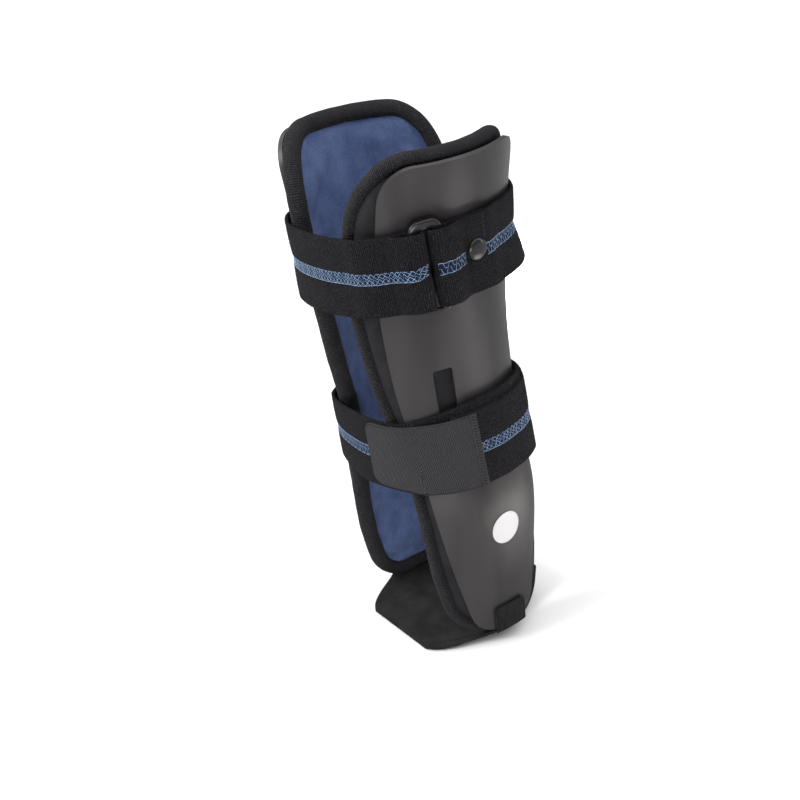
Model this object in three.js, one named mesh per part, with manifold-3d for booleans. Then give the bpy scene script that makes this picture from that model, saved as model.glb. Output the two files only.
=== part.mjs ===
// An ankle stabilizer brace of the stirrup kind: two stiff side shells with padded liners, a heel
// strap that joins them under the foot, and two straps that close them round the leg.
// Millimetres. +X is the outer side of the leg, -Y is towards the toes, +Z is up, and the origin
// lies on the ground in the middle of the brace.
import * as THREE from "three";
import { mergeVertices } from "three/addons/utils/BufferGeometryUtils.js";
import Module from "manifold-3d";

// Clearance between pieces that touch
const gap = 0.3;

// Side shells
const shellHeight = 246.3;
const shellFoot = 8.5; // height of the shells' tips above the ground
const shellWidth = 82; // measured round the shell at its top
const shellWall = 2.4;
const calfHalfWidth = 57; // from the middle plane to a shell's outer face, at its top
const topSlope = 0.045; // the top edge's fall towards the heel, for each millimetre round the shell
const topFrontCorner = 16;
const topBackCorner = 11;
const tipCorner = 11;
const slotWidth = 9.5; // the strap slot in each shell
const slotHeight = 50;
const slotTop = 155; // height of the slot's upper end above the ground
const slotArc = -13.5; // the slot's middle, measured round from the shell's centre line
const slotCorner = 1.2;

// Liners: a foam pad, a fleece lining on the side of the leg and a rolled binding round the edge
const linerRim = 19; // how far a liner stands past the shell's edge, at its top
const linerTop = 5; // and above the shell
const linerFoot = 3.5; // and below it
const linerLean = 2.5; // how far a liner's top leans away from the shell
const padThickness = 7;
const liningThickness = 1.2;
const bindingWidth = 8;
const bindingClearance = 1; // from the binding to the edges of the pad and the lining

// Heel strap
const heelStrapThickness = 1.7;
const heelFront = 38; // reach of the sole part towards the toes
const heelBack = 35.5; // and towards the heel
const heelFlat = 23; // half of the flat stretch across the sole
const heelCup = 14; // rise of the back edge, which cups the heel
const heelCupLength = 20;
const tabWidth = 18; // the ends, folded up over the shells' tips
const tabHeight = 13;
const tabArc = 1.7;
const tabCorner = 2.5;

// Leg straps
const strapWidth = 37.5;
const strapThickness = 1.8;
const strapCrease = 0.5; // the sewn middle line lies this much below the faces
const upperStrapDrop = 45.6; // from the shell's top to the strap's middle line, on the outer side
const upperFall = 8.5; // how much lower the strap lies on the inner side
const upperFlare = 1; // how far its lower edge stands off all round
const upperBackFlare = 4; // and how much further behind the outer shell,
const upperBackFlareLength = 90; // within this length from the centre line
const upperRoundWidth = 43; // half-axes and shift of the oval that the strap keeps round the leg
const upperRoundDepth = 48.5;
const upperRoundShift = 1;
const lowerStrapHeight = 114;
const lowerFall = 7;
const lowerRoundWidth = 42;
const lowerRoundDepth = 40;
const lowerRoundShift = 1;
const foldLength = 30; // from the ring to the sewn end of a fold
const innerTurnLift = 4.5; // the inner turn of the lower strap lies this much higher than the outer

// Ring, rivet, hook tab and sticker
const ringArc = -17.7; // the ring's middle, measured round the upper strap from the shell's centre line
const ringBar = 4.4;
const ringThickness = 2.6;
const ringClearance = 1.1;
const seamLean = 3; // the ring leans this much along the strap, from edge to edge
const ringSeam = 0.8; // the space left between the two folds
const ringOverhang = 5; // the ring's upper end above the strap
const ringUnderhang = 2.8;
const ringEndClearance = 0.5; // from the strap's edges to the ends of the ring's slot
const rivetArc = 4.6;
const rivetRise = 2.2; // above the strap's middle line
const rivetHeadRadius = 5.2;
const rivetHeadHeight = 2;
const rivetShankRadius = 1.6;
const hookTabLength = 56;
const hookTabEnd = -5; // where its sewn end lies, measured round the lower strap
const hookTabWidth = 37;
const hookTabFreeWidth = 34;
const hookTabThickness = 1.4;
const hookTabCorner = 6;
const hookTabOverlap = 11; // how far it lies on the strap's end that it is sewn to
const lapLength = 42; // from the centre line to the inner end of the lower strap, round the back
const stickerRadius = 8.2;
const stickerThickness = 0.4;
const stickerArc = 3;
const stickerHeight = 65.5;
const stickerClearance = 0.15;

// What follows from them
const shellTop = shellFoot + shellHeight;
const upperStrapHeight = shellTop - upperStrapDrop;
const padDepth = shellWall + 2 * gap; // from the shell's outer face
const liningDepth = padDepth + padThickness + 2 * gap;
const bindingThickness = liningDepth + liningThickness - padDepth;
const ringSlot = 2 * (strapThickness + ringClearance) + ringSeam;
const barEnd = ringSlot / 2 + ringBar; // from the ring's middle to the outside of a side bar

// Cross sections of a side shell, from its tip up. up is a share of shellHeight. out is the outer
// face's distance from the middle plane and bend its radius round the leg, as shares of
// calfHalfWidth. shift moves the section towards the heel, and front and back are the edges'
// distances round from the centre line, as shares of shellWidth. rim is the liner's, of linerRim.
const shellSections = [
  { up: 0.0, out: 0.8, bend: 0.96, shift: -0.018, front: 0.2, back: 0.2, rim: 0.66 },
  { up: 0.14, out: 0.842, bend: 0.94, shift: -0.018, front: 0.3, back: 0.295, rim: 0.66 },
  { up: 0.28, out: 0.865, bend: 0.85, shift: -0.002, front: 0.386, back: 0.37, rim: 0.58 },
  { up: 0.41, out: 0.775, bend: 0.83, shift: -0.008, front: 0.4, back: 0.398, rim: 0.57 },
  { up: 0.59, out: 0.745, bend: 0.92, shift: -0.022, front: 0.454, back: 0.416, rim: 0.75 },
  { up: 0.79, out: 0.81, bend: 0.97, shift: -0.018, front: 0.484, back: 0.464, rim: 0.94 },
  { up: 1.0, out: 1.0, bend: 0.985, shift: 0.0, front: 0.472, back: 0.523, rim: 1.0 },
];

// Edges of the heel strap from under a shell's tip to the flat of the sole, as shares of the step
// from half of tabWidth to heelFront and heelBack, and its rise, as a share of that of the tip.
const heelEdges = [
  { along: 0.0, front: 0.0, back: 0.0, rise: 1.0 },
  { along: 0.25, front: 0.28, back: 0.15, rise: 0.58 },
  { along: 0.5, front: 0.64, back: 0.45, rise: 0.26 },
  { along: 0.75, front: 0.88, back: 0.77, rise: 0.1 },
  { along: 1.0, front: 1.0, back: 1.0, rise: 0.0 },
];

const wasm = await Module();
wasm.setup();

const clamp = THREE.MathUtils.clamp;
const mix = THREE.MathUtils.lerp;
const ease = (from, to, share) => mix(from, to, THREE.MathUtils.smoothstep(share, 0, 1));
const steps = (from, to, count) =>
  Array.from({ length: count + 1 }, (_, i) => mix(from, to, i / count));

// A smooth curve through one column of a table, with the neighbours' mean slope at each row.
function column(rows, at, name) {
  const slopes = rows.map((row, i) => {
    const before = rows[Math.max(i - 1, 0)];
    const after = rows[Math.min(i + 1, rows.length - 1)];
    return (after[name] - before[name]) / (after[at] - before[at]);
  });
  return (where) => {
    const found = rows.findLastIndex((row) => row[at] <= where);
    const i = clamp(found, 0, rows.length - 2);
    const span = rows[i + 1][at] - rows[i][at];
    const t = clamp((where - rows[i][at]) / span, 0, 1);
    const past = where - (rows[i][at] + t * span); // beyond the table the curve runs straight on
    const end = slopes[t < 0.5 ? i : i + 1];
    const [a, b] = [rows[i][name], rows[i + 1][name]];
    const [m, n] = [slopes[i] * span, slopes[i + 1] * span];
    const t2 = t * t;
    const t3 = t2 * t;
    return a * (2 * t3 - 3 * t2 + 1) + m * (t3 - 2 * t2 + t) + b * (3 * t2 - 2 * t3) +
      n * (t3 - t2) + past * end;
  };
}

const outAt = column(shellSections, "up", "out");
const bendAt = column(shellSections, "up", "bend");
const shiftAt = column(shellSections, "up", "shift");
const frontAt = column(shellSections, "up", "front");
const backAt = column(shellSections, "up", "back");
const rimAt = column(shellSections, "up", "rim");

// The outer side's section at a height, in millimetres.
function sectionAt(height) {
  const up = (height - shellFoot) / shellHeight;
  return {
    out: outAt(up) * calfHalfWidth,
    bend: bendAt(up) * calfHalfWidth,
    shift: shiftAt(up) * shellWidth,
    front: frontAt(up) * shellWidth,
    back: backAt(up) * shellWidth,
    rim: rimAt(up) * linerRim,
  };
}

// A point of the outer side's wall: arc is measured round from the centre line, towards the heel
// when positive, and depth inwards from the shell's outer face.
function wallPoint(arc, height, depth) {
  const { out, bend, shift } = sectionAt(height);
  const turn = arc / bend;
  return new THREE.Vector3(
    out - bend + (bend - depth) * Math.cos(turn),
    shift + (bend - depth) * Math.sin(turn),
    height,
  );
}

// A point of a plate, whose upper part slopes down towards the heel.
function platePoint(arc, height, depth) {
  const slope = topSlope * THREE.MathUtils.smoothstep((height - shellFoot) / shellHeight, 0.75, 1);
  return wallPoint(arc, height - slope * arc, depth);
}

// A point of a liner, whose top leans inwards.
function linerPoint(arc, height, depth) {
  const share = (height - shellFoot) / shellHeight;
  return platePoint(arc, height, depth + linerLean * THREE.MathUtils.smoothstep(share, 0.82, 1.02));
}

// How far a round corner cuts in, at a distance from the end of the plate.
function cornerCut(distance, radius) {
  const inside = clamp(radius - distance, 0, radius);
  return radius - Math.sqrt(radius ** 2 - inside ** 2);
}

// The outline of a plate that stands past the shell's edge by side(rim), above and below.
function outline(side, above, below) {
  const low = shellFoot - below;
  const high = shellTop + above;
  const widening = Math.max(side(linerRim), 0);
  const corners = { front: topFrontCorner + widening, back: topBackCorner + widening };
  const tip = tipCorner + Math.max(side(sectionAt(shellFoot).rim), 0);
  const edge = (height, name) => {
    const section = sectionAt(height);
    const cuts = cornerCut(high - height, corners[name]) + cornerCut(height - low, tip);
    return section[name] + side(section.rim) - cuts;
  };
  return {
    low,
    high,
    tip,
    corner: corners.front,
    front: (height) => -edge(height, "front"),
    back: (height) => edge(height, "back"),
  };
}

// Heights of the rows of a plate, close together where its corners turn.
function rowsOf({ low, high, tip, corner }, middleRows) {
  const turn = [0, 20, 40, 65];
  const rise = (radius, degrees) => radius * (1 - Math.cos(THREE.MathUtils.degToRad(degrees)));
  const foot = turn.map((degrees) => low + rise(tip, degrees));
  const head = turn.map((degrees) => high - rise(corner, degrees)).reverse();
  return [...foot, ...steps(low + tip, high - corner, middleRows), ...head];
}

// A closed wall: a box with columns across and rows up, each corner moved to place(u, row, outer).
function bentWall(columns, rows, place) {
  const geometry = new THREE.BoxGeometry(1, 1, 1, columns, rows.length - 1, 1);
  const position = geometry.getAttribute("position");
  for (let i = 0; i < position.count; i++) {
    const row = rows[Math.round((position.getY(i) + 0.5) * (rows.length - 1))];
    const point = place(position.getX(i) + 0.5, row, position.getZ(i) > 0);
    position.setXYZ(i, point.x, point.y, point.z);
  }
  return geometry;
}

// A plate of the outer side between two depths, with its points made by pointAt.
function plate(shape, columns, middleRows, pointAt, outerDepth, thickness) {
  return bentWall(columns, rowsOf(shape, middleRows), (u, height, outer) => {
    const arc = mix(shape.front(height), shape.back(height), u);
    return pointAt(arc, height, outer ? outerDepth : outerDepth + thickness);
  });
}

function solidOf(geometry) {
  const bare = geometry.clone();
  bare.deleteAttribute("normal");
  bare.deleteAttribute("uv");
  const merged = mergeVertices(bare, 1e-4);
  return new wasm.Manifold(
    new wasm.Mesh({
      numProp: 3,
      vertProperties: merged.getAttribute("position").array,
      triVerts: new Uint32Array(merged.index.array),
    }),
  );
}

function geometryOf(solid) {
  const mesh = solid.getMesh();
  const geometry = new THREE.BufferGeometry();
  geometry.setAttribute("position", new THREE.BufferAttribute(mesh.vertProperties, 3));
  geometry.setIndex(new THREE.BufferAttribute(mesh.triVerts, 1));
  return geometry;
}

const cut = (geometry, ...tools) =>
  geometryOf(tools.reduce((solid, tool) => solid.subtract(solidOf(tool)), solidOf(geometry)));

// The closed path that a strap lies on: the tightest loop round the shells, their bindings and an
// oval, smoothed a little. It is worked out from the loop's distance from the middle in each
// direction, and starts at the outer side's centre line. The heights are those that it has to clear.
const loopPoints = 240;
function loopRound(heights, round) {
  const held = heights.flatMap((height) => {
    const { front, back, rim } = sectionAt(height);
    return [
      ...steps(-front, back, 12).map((arc) => wallPoint(arc, height, 0)),
      ...[-front - rim, back + rim].flatMap((arc) => [
        wallPoint(arc - (Math.sign(arc) * bindingWidth) / 2, height, padDepth),
        wallPoint(arc, height, padDepth + bindingThickness / 2),
      ]),
    ];
  });
  const reach = (angle) => {
    const [c, s] = [Math.cos(angle), Math.sin(angle)];
    const oval = Math.hypot(round.width * c, round.depth * s) + round.shift * s;
    return Math.max(oval, ...held.map((p) => Math.abs(p.x * c) + p.y * s)) + gap;
  };
  const step = (2 * Math.PI) / loopPoints;
  const spread = [-5, -4, -3, -2, -1, 0, 1, 2, 3, 4, 5];
  const smooth = steps(0, loopPoints - 1, loopPoints - 1).map(
    (i) => spread.reduce((sum, k) => sum + reach((i + k) * step), 0) / spread.length,
  );
  const path = smooth.map((h, i) => {
    const after = smooth[(i + 1) % loopPoints];
    const before = smooth[(i - 1 + loopPoints) % loopPoints];
    const slope = (after - before) / (2 * step);
    const [c, s] = [Math.cos(i * step), Math.sin(i * step)];
    return new THREE.Vector3(h * c - slope * s, h * s + slope * c, 0);
  });
  const curve = new THREE.CatmullRomCurve3(path, true, "catmullrom", 0.5);
  curve.arcLengthDivisions = 2 * loopPoints;
  return curve;
}

// A strap's base: points at a distance s round from the outer side's centre line, raised off the
// snug loops by lift, with v from 0 at the lower edge to 1 at the upper one. The lower half stands
// off by flare(s), and the inner side lies lower by fall. A lean shears the edges along the strap.
function strapBase({ middle, fall, round, lean = 0, flare = () => 0 }) {
  const edges = [middle - strapWidth / 2, middle + strapWidth / 2];
  const loops = edges.map((height) => loopRound([height, height - fall, middle - fall / 2], round));
  const length = loops[1].getLength();
  const onLoop = (i, s, lift) => {
    const share = THREE.MathUtils.euclideanModulo(s / length, 1);
    const tangent = loops[i].getTangentAt(share);
    const outward = new THREE.Vector3(tangent.y, -tangent.x, 0).normalize();
    const point = loops[i].getPointAt(share).addScaledVector(outward, lift);
    point.z = edges[i] - (fall * (1 - point.x / calfHalfWidth)) / 2;
    return point;
  };
  const point = (s, lift, v) => {
    const along = s + lean * (0.5 - v);
    const off = lift + flare(s) * Math.max(1 - 2 * v, 0);
    return onLoop(0, along, off).lerp(onLoop(1, along, off), v);
  };
  return { length, point };
}

// A strap that follows a path of [s, lift] pairs round its base. Its middle line is creased, and
// rise(s) moves it up.
function strapAlong(base, path, rise = () => 0) {
  const levels = [0, 0.5, 1];
  const placed = levels.map((v) => path.map(([s, lift]) => base.point(s, lift, v)));
  return bentWall(path.length - 1, levels, (u, level, outer) => {
    const i = Math.round(u * (path.length - 1));
    const line = placed[levels.indexOf(level)];
    const tangent = line[Math.min(i + 1, path.length - 1)].clone().sub(line[Math.max(i - 1, 0)]);
    const outward = new THREE.Vector3(tangent.y, -tangent.x, 0).normalize();
    const crease = outer && level === 0.5 ? strapCrease : 0;
    const point = line[i].clone();
    point.addScaledVector(outward, (outer ? strapThickness / 2 : -strapThickness / 2) - crease);
    point.z += rise(path[i][0]);
    return point;
  });
}

// Lifts of the strap's middle surface over what lies under it.
const liftSingle = gap + strapThickness / 2;
const liftDouble = liftSingle + strapThickness + gap;
const liftOverBar = liftSingle + strapThickness + 2 * ringClearance + ringThickness;
const turnRadius = (liftOverBar - liftSingle) / 2;

const upperBase = strapBase({
  middle: upperStrapHeight,
  fall: upperFall,
  round: { width: upperRoundWidth, depth: upperRoundDepth, shift: upperRoundShift },
  lean: seamLean,
  flare: (s) => upperFlare + upperBackFlare * Math.sin(Math.PI * clamp(s / upperBackFlareLength, 0, 1)),
});
const lowerBase = strapBase({
  middle: lowerStrapHeight,
  fall: lowerFall,
  round: { width: lowerRoundWidth, depth: lowerRoundDepth, shift: lowerRoundShift },
});

// The half turn of a strap round a side bar of the ring, from under it to over it. The turn's
// outside lies at the seam between the two folds.
function foldTurn(direction) {
  const reachIn = ringSeam / 2 + strapThickness / 2;
  const centre = ringArc + direction * (reachIn + turnRadius);
  return steps(-90, 90, 6).map((degrees) => {
    const angle = THREE.MathUtils.degToRad(degrees);
    return [
      centre - direction * turnRadius * Math.cos(angle),
      liftSingle + turnRadius * (1 + Math.sin(angle)),
    ];
  });
}

function upperStrap() {
  const { length } = upperBase;
  const rightTurn = foldTurn(1);
  const leftTurn = foldTurn(-1).reverse().map(([s, lift]) => [s + length, lift]);
  const rightFoldEnd = ringArc + foldLength;
  const leftFoldEnd = length + ringArc - foldLength;
  const overLift = (s) => {
    const fromRing = Math.min(s - ringArc, length + ringArc - s);
    const offBar = (fromRing - barEnd) / (foldLength / 3);
    const offFold = (fromRing - foldLength) / (foldLength / 3);
    return ease(liftOverBar, liftDouble, offBar) - ease(0, liftDouble - liftSingle, offFold);
  };
  const nearRight = steps(rightTurn[0][0], rightFoldEnd + foldLength / 2, 12).slice(1);
  const nearLeft = steps(leftFoldEnd - foldLength / 2, leftTurn[0][0], 12).slice(0, -1);
  const round = steps(nearRight.at(-1), nearLeft[0], 46).slice(1, -1);
  const path = [
    ...steps(rightFoldEnd, rightTurn[0][0], 9).slice(0, -1).map((s) => [s, liftSingle]),
    ...rightTurn,
    ...[...nearRight, ...round, ...nearLeft].map((s) => [s, overLift(s)]),
    ...leftTurn,
    ...steps(leftTurn[0][0], leftFoldEnd, 9).slice(1).map((s) => [s, liftSingle]),
  ];
  return cut(strapAlong(upperBase, path), rivetHole());
}

// The lower strap goes round once and laps over itself on the outer side: its sewn end is outside,
// and its inner end lies under that on the shell, as far as the back.
function lowerStrap() {
  const { length } = lowerBase;
  const sewnEnd = hookTabEnd - hookTabOverlap;
  const innerEnd = length + lapLength;
  const lift = (s) => liftDouble - ease(0, liftDouble - liftSingle, (s - lapLength) / foldLength);
  const rise = (s) => ease(0, innerTurnLift, (s - length + lapLength) / lapLength);
  const path = steps(sewnEnd, innerEnd, 86).map((s) => [s, lift(s)]);
  return strapAlong(lowerBase, path, rise);
}

// The hook tab, sewn on the strap's outer end, bridges forwards over the inner turn. Its free end
// is narrower and has round corners.
function hookTab() {
  const from = hookTabEnd - hookTabLength;
  const liftOver = liftDouble + (strapThickness + hookTabThickness) / 2 + gap;
  const liftFree = liftOver - strapThickness - gap;
  const sewnEnd = hookTabEnd - hookTabOverlap;
  const along = [0, 0.02, 0.05, 0.1, ...steps(0.2, 1, 12)];
  const risen = 2 * hookTabOverlap;
  const liftAt = (s) => ease(liftFree, liftOver, (s - sewnEnd + risen) / (risen - 1));
  return bentWall(along.length - 1, [-1, -0.5, 0, 0.5, 1], (u, row, outer) => {
    const share = along[Math.round(u * (along.length - 1))];
    const half = mix(hookTabFreeWidth, hookTabWidth, share) / 2;
    const s = from + share * hookTabLength;
    const reach = half - cornerCut(share * hookTabLength, hookTabCorner);
    const v = 0.5 + (row * reach + (half - hookTabWidth / 2) * -0.5) / strapWidth;
    const lift = liftAt(s) + (outer ? hookTabThickness / 2 : -hookTabThickness / 2);
    return lowerBase.point(s, lift, v);
  });
}

// A frame on a strap's base: x along the strap, y up it and z outwards, at a lift.
function baseFrame(base, s, lift, v) {
  const origin = base.point(s, lift, v);
  const along = base.point(s + 1, lift, v).sub(base.point(s - 1, lift, v));
  const y = base.point(s, lift, 1).sub(base.point(s, lift, 0)).normalize();
  const z = new THREE.Vector3().crossVectors(along, y).normalize();
  const x = new THREE.Vector3().crossVectors(y, z);
  return new THREE.Matrix4().makeBasis(x, y, z).setPosition(origin);
}

const rivetFrame = () =>
  baseFrame(upperBase, rivetArc, liftDouble + strapThickness / 2 + gap, 0.5 + rivetRise / strapWidth);

// The rivet's hole goes through both layers of the strap and the shell.
function rivetHole() {
  const depth = 4 * (liftDouble + shellWall);
  const radius = rivetShankRadius + gap;
  const hole = new THREE.CylinderGeometry(radius, radius, depth, 12);
  return hole.rotateX(Math.PI / 2).applyMatrix4(rivetFrame());
}

// A domed head over a shank that ends flush with the shell's inner face.
function rivet() {
  const shankEnd = -(liftDouble + strapThickness / 2 + gap + gap + shellWall);
  const dome = steps(0, 90, 4).map((degrees) => {
    const angle = THREE.MathUtils.degToRad(degrees);
    return new THREE.Vector2(rivetHeadRadius * Math.cos(angle), rivetHeadHeight * Math.sin(angle));
  });
  dome[dome.length - 1].x = 0;
  const profile = [
    new THREE.Vector2(0, shankEnd),
    new THREE.Vector2(rivetShankRadius, shankEnd),
    new THREE.Vector2(rivetShankRadius, 0),
    ...dome,
  ];
  return new THREE.LatheGeometry(profile, 16).rotateX(Math.PI / 2).applyMatrix4(rivetFrame());
}

function roundedRectangle(shape, width, low, high, radius) {
  const reach = width / 2 - radius;
  const corners = [
    [reach, low + radius],
    [reach, high - radius],
    [-reach, high - radius],
    [-reach, low + radius],
  ];
  corners.forEach(([x, y], i) => {
    shape.absarc(x, y, radius, ((i - 1) * Math.PI) / 2, (i * Math.PI) / 2);
  });
  return shape;
}

// The moulded ring that both folds of the upper strap hang on.
function strapRing() {
  const bevel = 0.8;
  const width = ringSlot + 2 * ringBar;
  const low = -strapWidth / 2 - ringUnderhang + bevel;
  const high = strapWidth / 2 + ringOverhang - bevel;
  const slotEnd = strapWidth / 2 + ringEndClearance + bevel;
  const shape = roundedRectangle(new THREE.Shape(), width - 2 * bevel, low, high, width / 3);
  const slot = roundedRectangle(new THREE.Path(), ringSlot + 2 * bevel, -slotEnd, slotEnd, 1.6);
  shape.holes.push(slot);
  const geometry = new THREE.ExtrudeGeometry(shape, {
    depth: ringThickness - 2 * bevel,
    bevelThickness: bevel,
    bevelSize: bevel,
    bevelSegments: 1,
    curveSegments: 3,
  });
  const lift = liftSingle + turnRadius;
  return geometry
    .translate(0, 0, bevel - ringThickness / 2)
    .applyMatrix4(baseFrame(upperBase, ringArc, lift, 0.5));
}

const shellShape = outline(() => 0, 0, 0);

function strapSlot() {
  const rows = [0, slotCorner, slotHeight - slotCorner, slotHeight].map(
    (rise) => slotTop - slotHeight + rise,
  );
  return bentWall(4, rows, (u, height, outer) => {
    const fromEnd = Math.min(height - rows[0], rows[3] - height);
    const half = slotWidth / 2 - cornerCut(fromEnd, slotCorner);
    return wallPoint(slotArc + mix(-half, half, u), height, outer ? -shellWall : 2 * shellWall);
  });
}

const shell = (...tools) => cut(plate(shellShape, 12, 10, platePoint, 0, shellWall), strapSlot(), ...tools);

// The pad and the lining end where the binding begins.
const innerShape = outline(
  (rim) => rim - bindingWidth - bindingClearance,
  linerTop - bindingWidth - bindingClearance,
  linerFoot - bindingWidth - bindingClearance,
);
const pad = () => plate(innerShape, 8, 9, linerPoint, padDepth, padThickness);
const lining = () => plate(innerShape, 8, 9, linerPoint, liningDepth, liningThickness);

// The rolled binding: a closed roll along the liner's edge, a torus moved to the edge's curve.
const bindingSteps = 60;
const bindingSides = 8;
function binding() {
  const half = bindingWidth / 2;
  const shape = outline((rim) => rim - half, linerTop - half, linerFoot - half);
  const rows = rowsOf(shape, 12);
  const across = (height, from, to) =>
    steps(from(height), to(height), 5).slice(1, -1).map((arc) => [arc, height]);
  const points = [
    ...rows.map((height) => [shape.back(height), height]),
    ...across(shape.high, shape.back, shape.front),
    ...rows.toReversed().map((height) => [shape.front(height), height]),
    ...across(shape.low, shape.front, shape.back),
  ].map(([arc, height]) => new THREE.Vector3(arc, height, 0));
  const edge = new THREE.CatmullRomCurve3(points, true, "centripetal");
  const geometry = new THREE.TorusGeometry(2, 1, bindingSides, bindingSteps);
  const [position, uv] = [geometry.getAttribute("position"), geometry.getAttribute("uv")];
  for (let i = 0; i < position.count; i++) {
    const share = uv.getX(i) % 1;
    const angle = (uv.getY(i) % 1) * 2 * Math.PI;
    const at = edge.getPointAt(share);
    const tangent = edge.getTangentAt(share);
    const outwards = half * Math.cos(angle);
    const depth = padDepth + (bindingThickness / 2) * (1 - Math.sin(angle));
    const arc = at.x + tangent.y * outwards;
    const point = linerPoint(arc, at.y - tangent.x * outwards, depth);
    position.setXYZ(i, point.x, point.y, point.z);
  }
  return geometry;
}

// The heel strap: a sole part that is flat on the ground and cups the heel behind. On each side it
// rises to a shell's tip, folds round it from below and ends in a tab on the shell's outer face.
function heelStrap() {
  const half = heelStrapThickness / 2;
  const foldRadius = shellWall / 2 + gap + half;
  const foldHeight = shellFoot + gap;
  const tipRise = foldHeight - foldRadius - half;
  const [front, back, rise] = ["front", "back", "rise"].map((name) => column(heelEdges, "along", name));
  const stations = [
    ...[1, 1 - tabCorner / tabHeight / 2, 1 - tabCorner / tabHeight, 0.4].map((tab) => ({ tab })),
    ...steps(0, 90, 3).map((fold) => ({ fold })),
    ...steps(0, 1, 6).slice(1).map((along) => ({ along })),
    { along: 1, middle: true },
  ];
  const place = ({ tab, fold, along, middle }, row, under) => {
    const off = under ? half : -half;
    if (tab !== undefined) {
      const reach = tabWidth / 2 - cornerCut((1 - tab) * tabHeight, tabCorner);
      const arc = tabArc + mix(-reach, reach, row);
      return wallPoint(arc, foldHeight + tab * tabHeight, shellWall / 2 - foldRadius - off);
    }
    const tabEdge = mix(-tabWidth / 2, tabWidth / 2, row);
    if (fold !== undefined) {
      const turn = THREE.MathUtils.degToRad(fold);
      const [c, s] = [Math.cos(turn), Math.sin(turn)].map((share) => share * (foldRadius + off));
      return wallPoint(tabArc + tabEdge, foldHeight - s, shellWall / 2 - c);
    }
    const edge = wallPoint(tabArc + tabEdge, foldHeight, shellWall / 2);
    const far = mix(-heelFront, heelBack, row);
    const spread = row < 0.5 ? front(along) : back(along);
    const y = mix(edge.y, far, spread);
    const cup = Math.max(1 + (y - heelBack) / heelCupLength, 0);
    const tilt = Math.atan((2 * cup * heelCup) / heelCupLength);
    const x = middle ? 0 : mix(edge.x, heelFlat, along);
    return new THREE.Vector3(
      x,
      y + off * Math.sin(tilt),
      half + tipRise * rise(along) + heelCup * cup ** 2 - off * Math.cos(tilt),
    );
  };
  const all = [
    ...stations.map((station) => ({ ...station, side: 1 })),
    ...stations.slice(0, -1).reverse().map((station) => ({ ...station, side: -1 })),
  ];
  return bentWall(all.length - 1, steps(0, 1, 8), (u, row, outer) => {
    const station = all[Math.round(u * (all.length - 1))];
    const point = place(station, row, outer);
    point.x *= station.side;
    return point;
  });
}

// A round paper sticker that follows the shell.
function sticker() {
  const geometry = new THREE.CylinderGeometry(stickerRadius, stickerRadius, stickerThickness, 24);
  geometry.rotateX(Math.PI / 2);
  const position = geometry.getAttribute("position");
  for (let i = 0; i < position.count; i++) {
    const lift = stickerClearance + stickerThickness / 2 + position.getZ(i);
    const arc = stickerArc + position.getX(i);
    const point = wallPoint(arc, stickerHeight + position.getY(i), -lift);
    position.setXYZ(i, point.x, point.y, point.z);
  }
  return geometry;
}

const finish = (color, roughness) =>
  new THREE.MeshStandardMaterial({ color, roughness, metalness: 0 });
const shellPlastic = finish(0x3a3839, 0.38);
const hardwarePlastic = finish(0x1d1d1f, 0.3);
const foamCover = finish(0x17171a, 0.95);
const bindingKnit = finish(0x1b1b1e, 0.9);
const blueFleece = finish(0x3d5288, 1);
const loopWebbing = finish(0x111113, 0.95);
const hookTape = finish(0x303033, 0.8);
const paper = finish(0xf2f2f4, 0.6);

const brace = new THREE.Group();
function add(parent, name, geometry, material) {
  const mesh = new THREE.Mesh(geometry, material);
  mesh.name = name;
  parent.add(mesh);
}

// Each side is built on the outer side of the leg, and the inner side is its mirror image.
for (const [side, sign] of [["lateral", 1], ["medial", -1]]) {
  const half = new THREE.Group();
  half.scale.x = sign;
  brace.add(half);
  add(half, `${side}_shell`, sign > 0 ? shell(rivetHole()) : shell(), shellPlastic);
  add(half, `${side}_pad`, pad(), foamCover);
  add(half, `${side}_lining`, lining(), blueFleece);
  add(half, `${side}_binding`, binding(), bindingKnit);
}
add(brace, "heel_strap", heelStrap(), loopWebbing);
add(brace, "upper_strap", upperStrap(), loopWebbing);
add(brace, "strap_ring", strapRing(), hardwarePlastic);
add(brace, "strap_rivet", rivet(), hardwarePlastic);
add(brace, "lower_strap", lowerStrap(), loopWebbing);
add(brace, "hook_tab", hookTab(), hookTape);
add(brace, "round_sticker", sticker(), paper);

export default brace;
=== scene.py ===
"""A stirrup ankle brace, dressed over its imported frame.

Sizes are millimetres until a mesh is made. +X is the outer side of the leg, -Y is towards the
toes and +Z is up. The shells, liners and straps are surfaces worked out on grids of two
parameters from the same sections that the solids follow.
"""

import bmesh
import bpy
import numpy as np
from mathutils import Matrix


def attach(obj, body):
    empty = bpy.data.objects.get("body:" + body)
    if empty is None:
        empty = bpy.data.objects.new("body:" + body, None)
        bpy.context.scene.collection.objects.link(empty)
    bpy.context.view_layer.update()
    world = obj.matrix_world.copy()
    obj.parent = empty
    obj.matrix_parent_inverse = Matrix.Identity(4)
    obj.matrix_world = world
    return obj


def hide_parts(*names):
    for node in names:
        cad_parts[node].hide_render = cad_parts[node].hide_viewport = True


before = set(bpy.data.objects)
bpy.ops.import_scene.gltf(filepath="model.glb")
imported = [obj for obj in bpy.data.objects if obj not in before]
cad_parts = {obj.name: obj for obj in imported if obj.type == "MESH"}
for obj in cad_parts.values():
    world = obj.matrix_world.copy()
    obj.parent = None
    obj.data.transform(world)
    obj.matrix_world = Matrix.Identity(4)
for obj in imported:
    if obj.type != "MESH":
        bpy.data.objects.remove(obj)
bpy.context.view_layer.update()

MM = 0.001
GAP = 0.3

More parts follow.
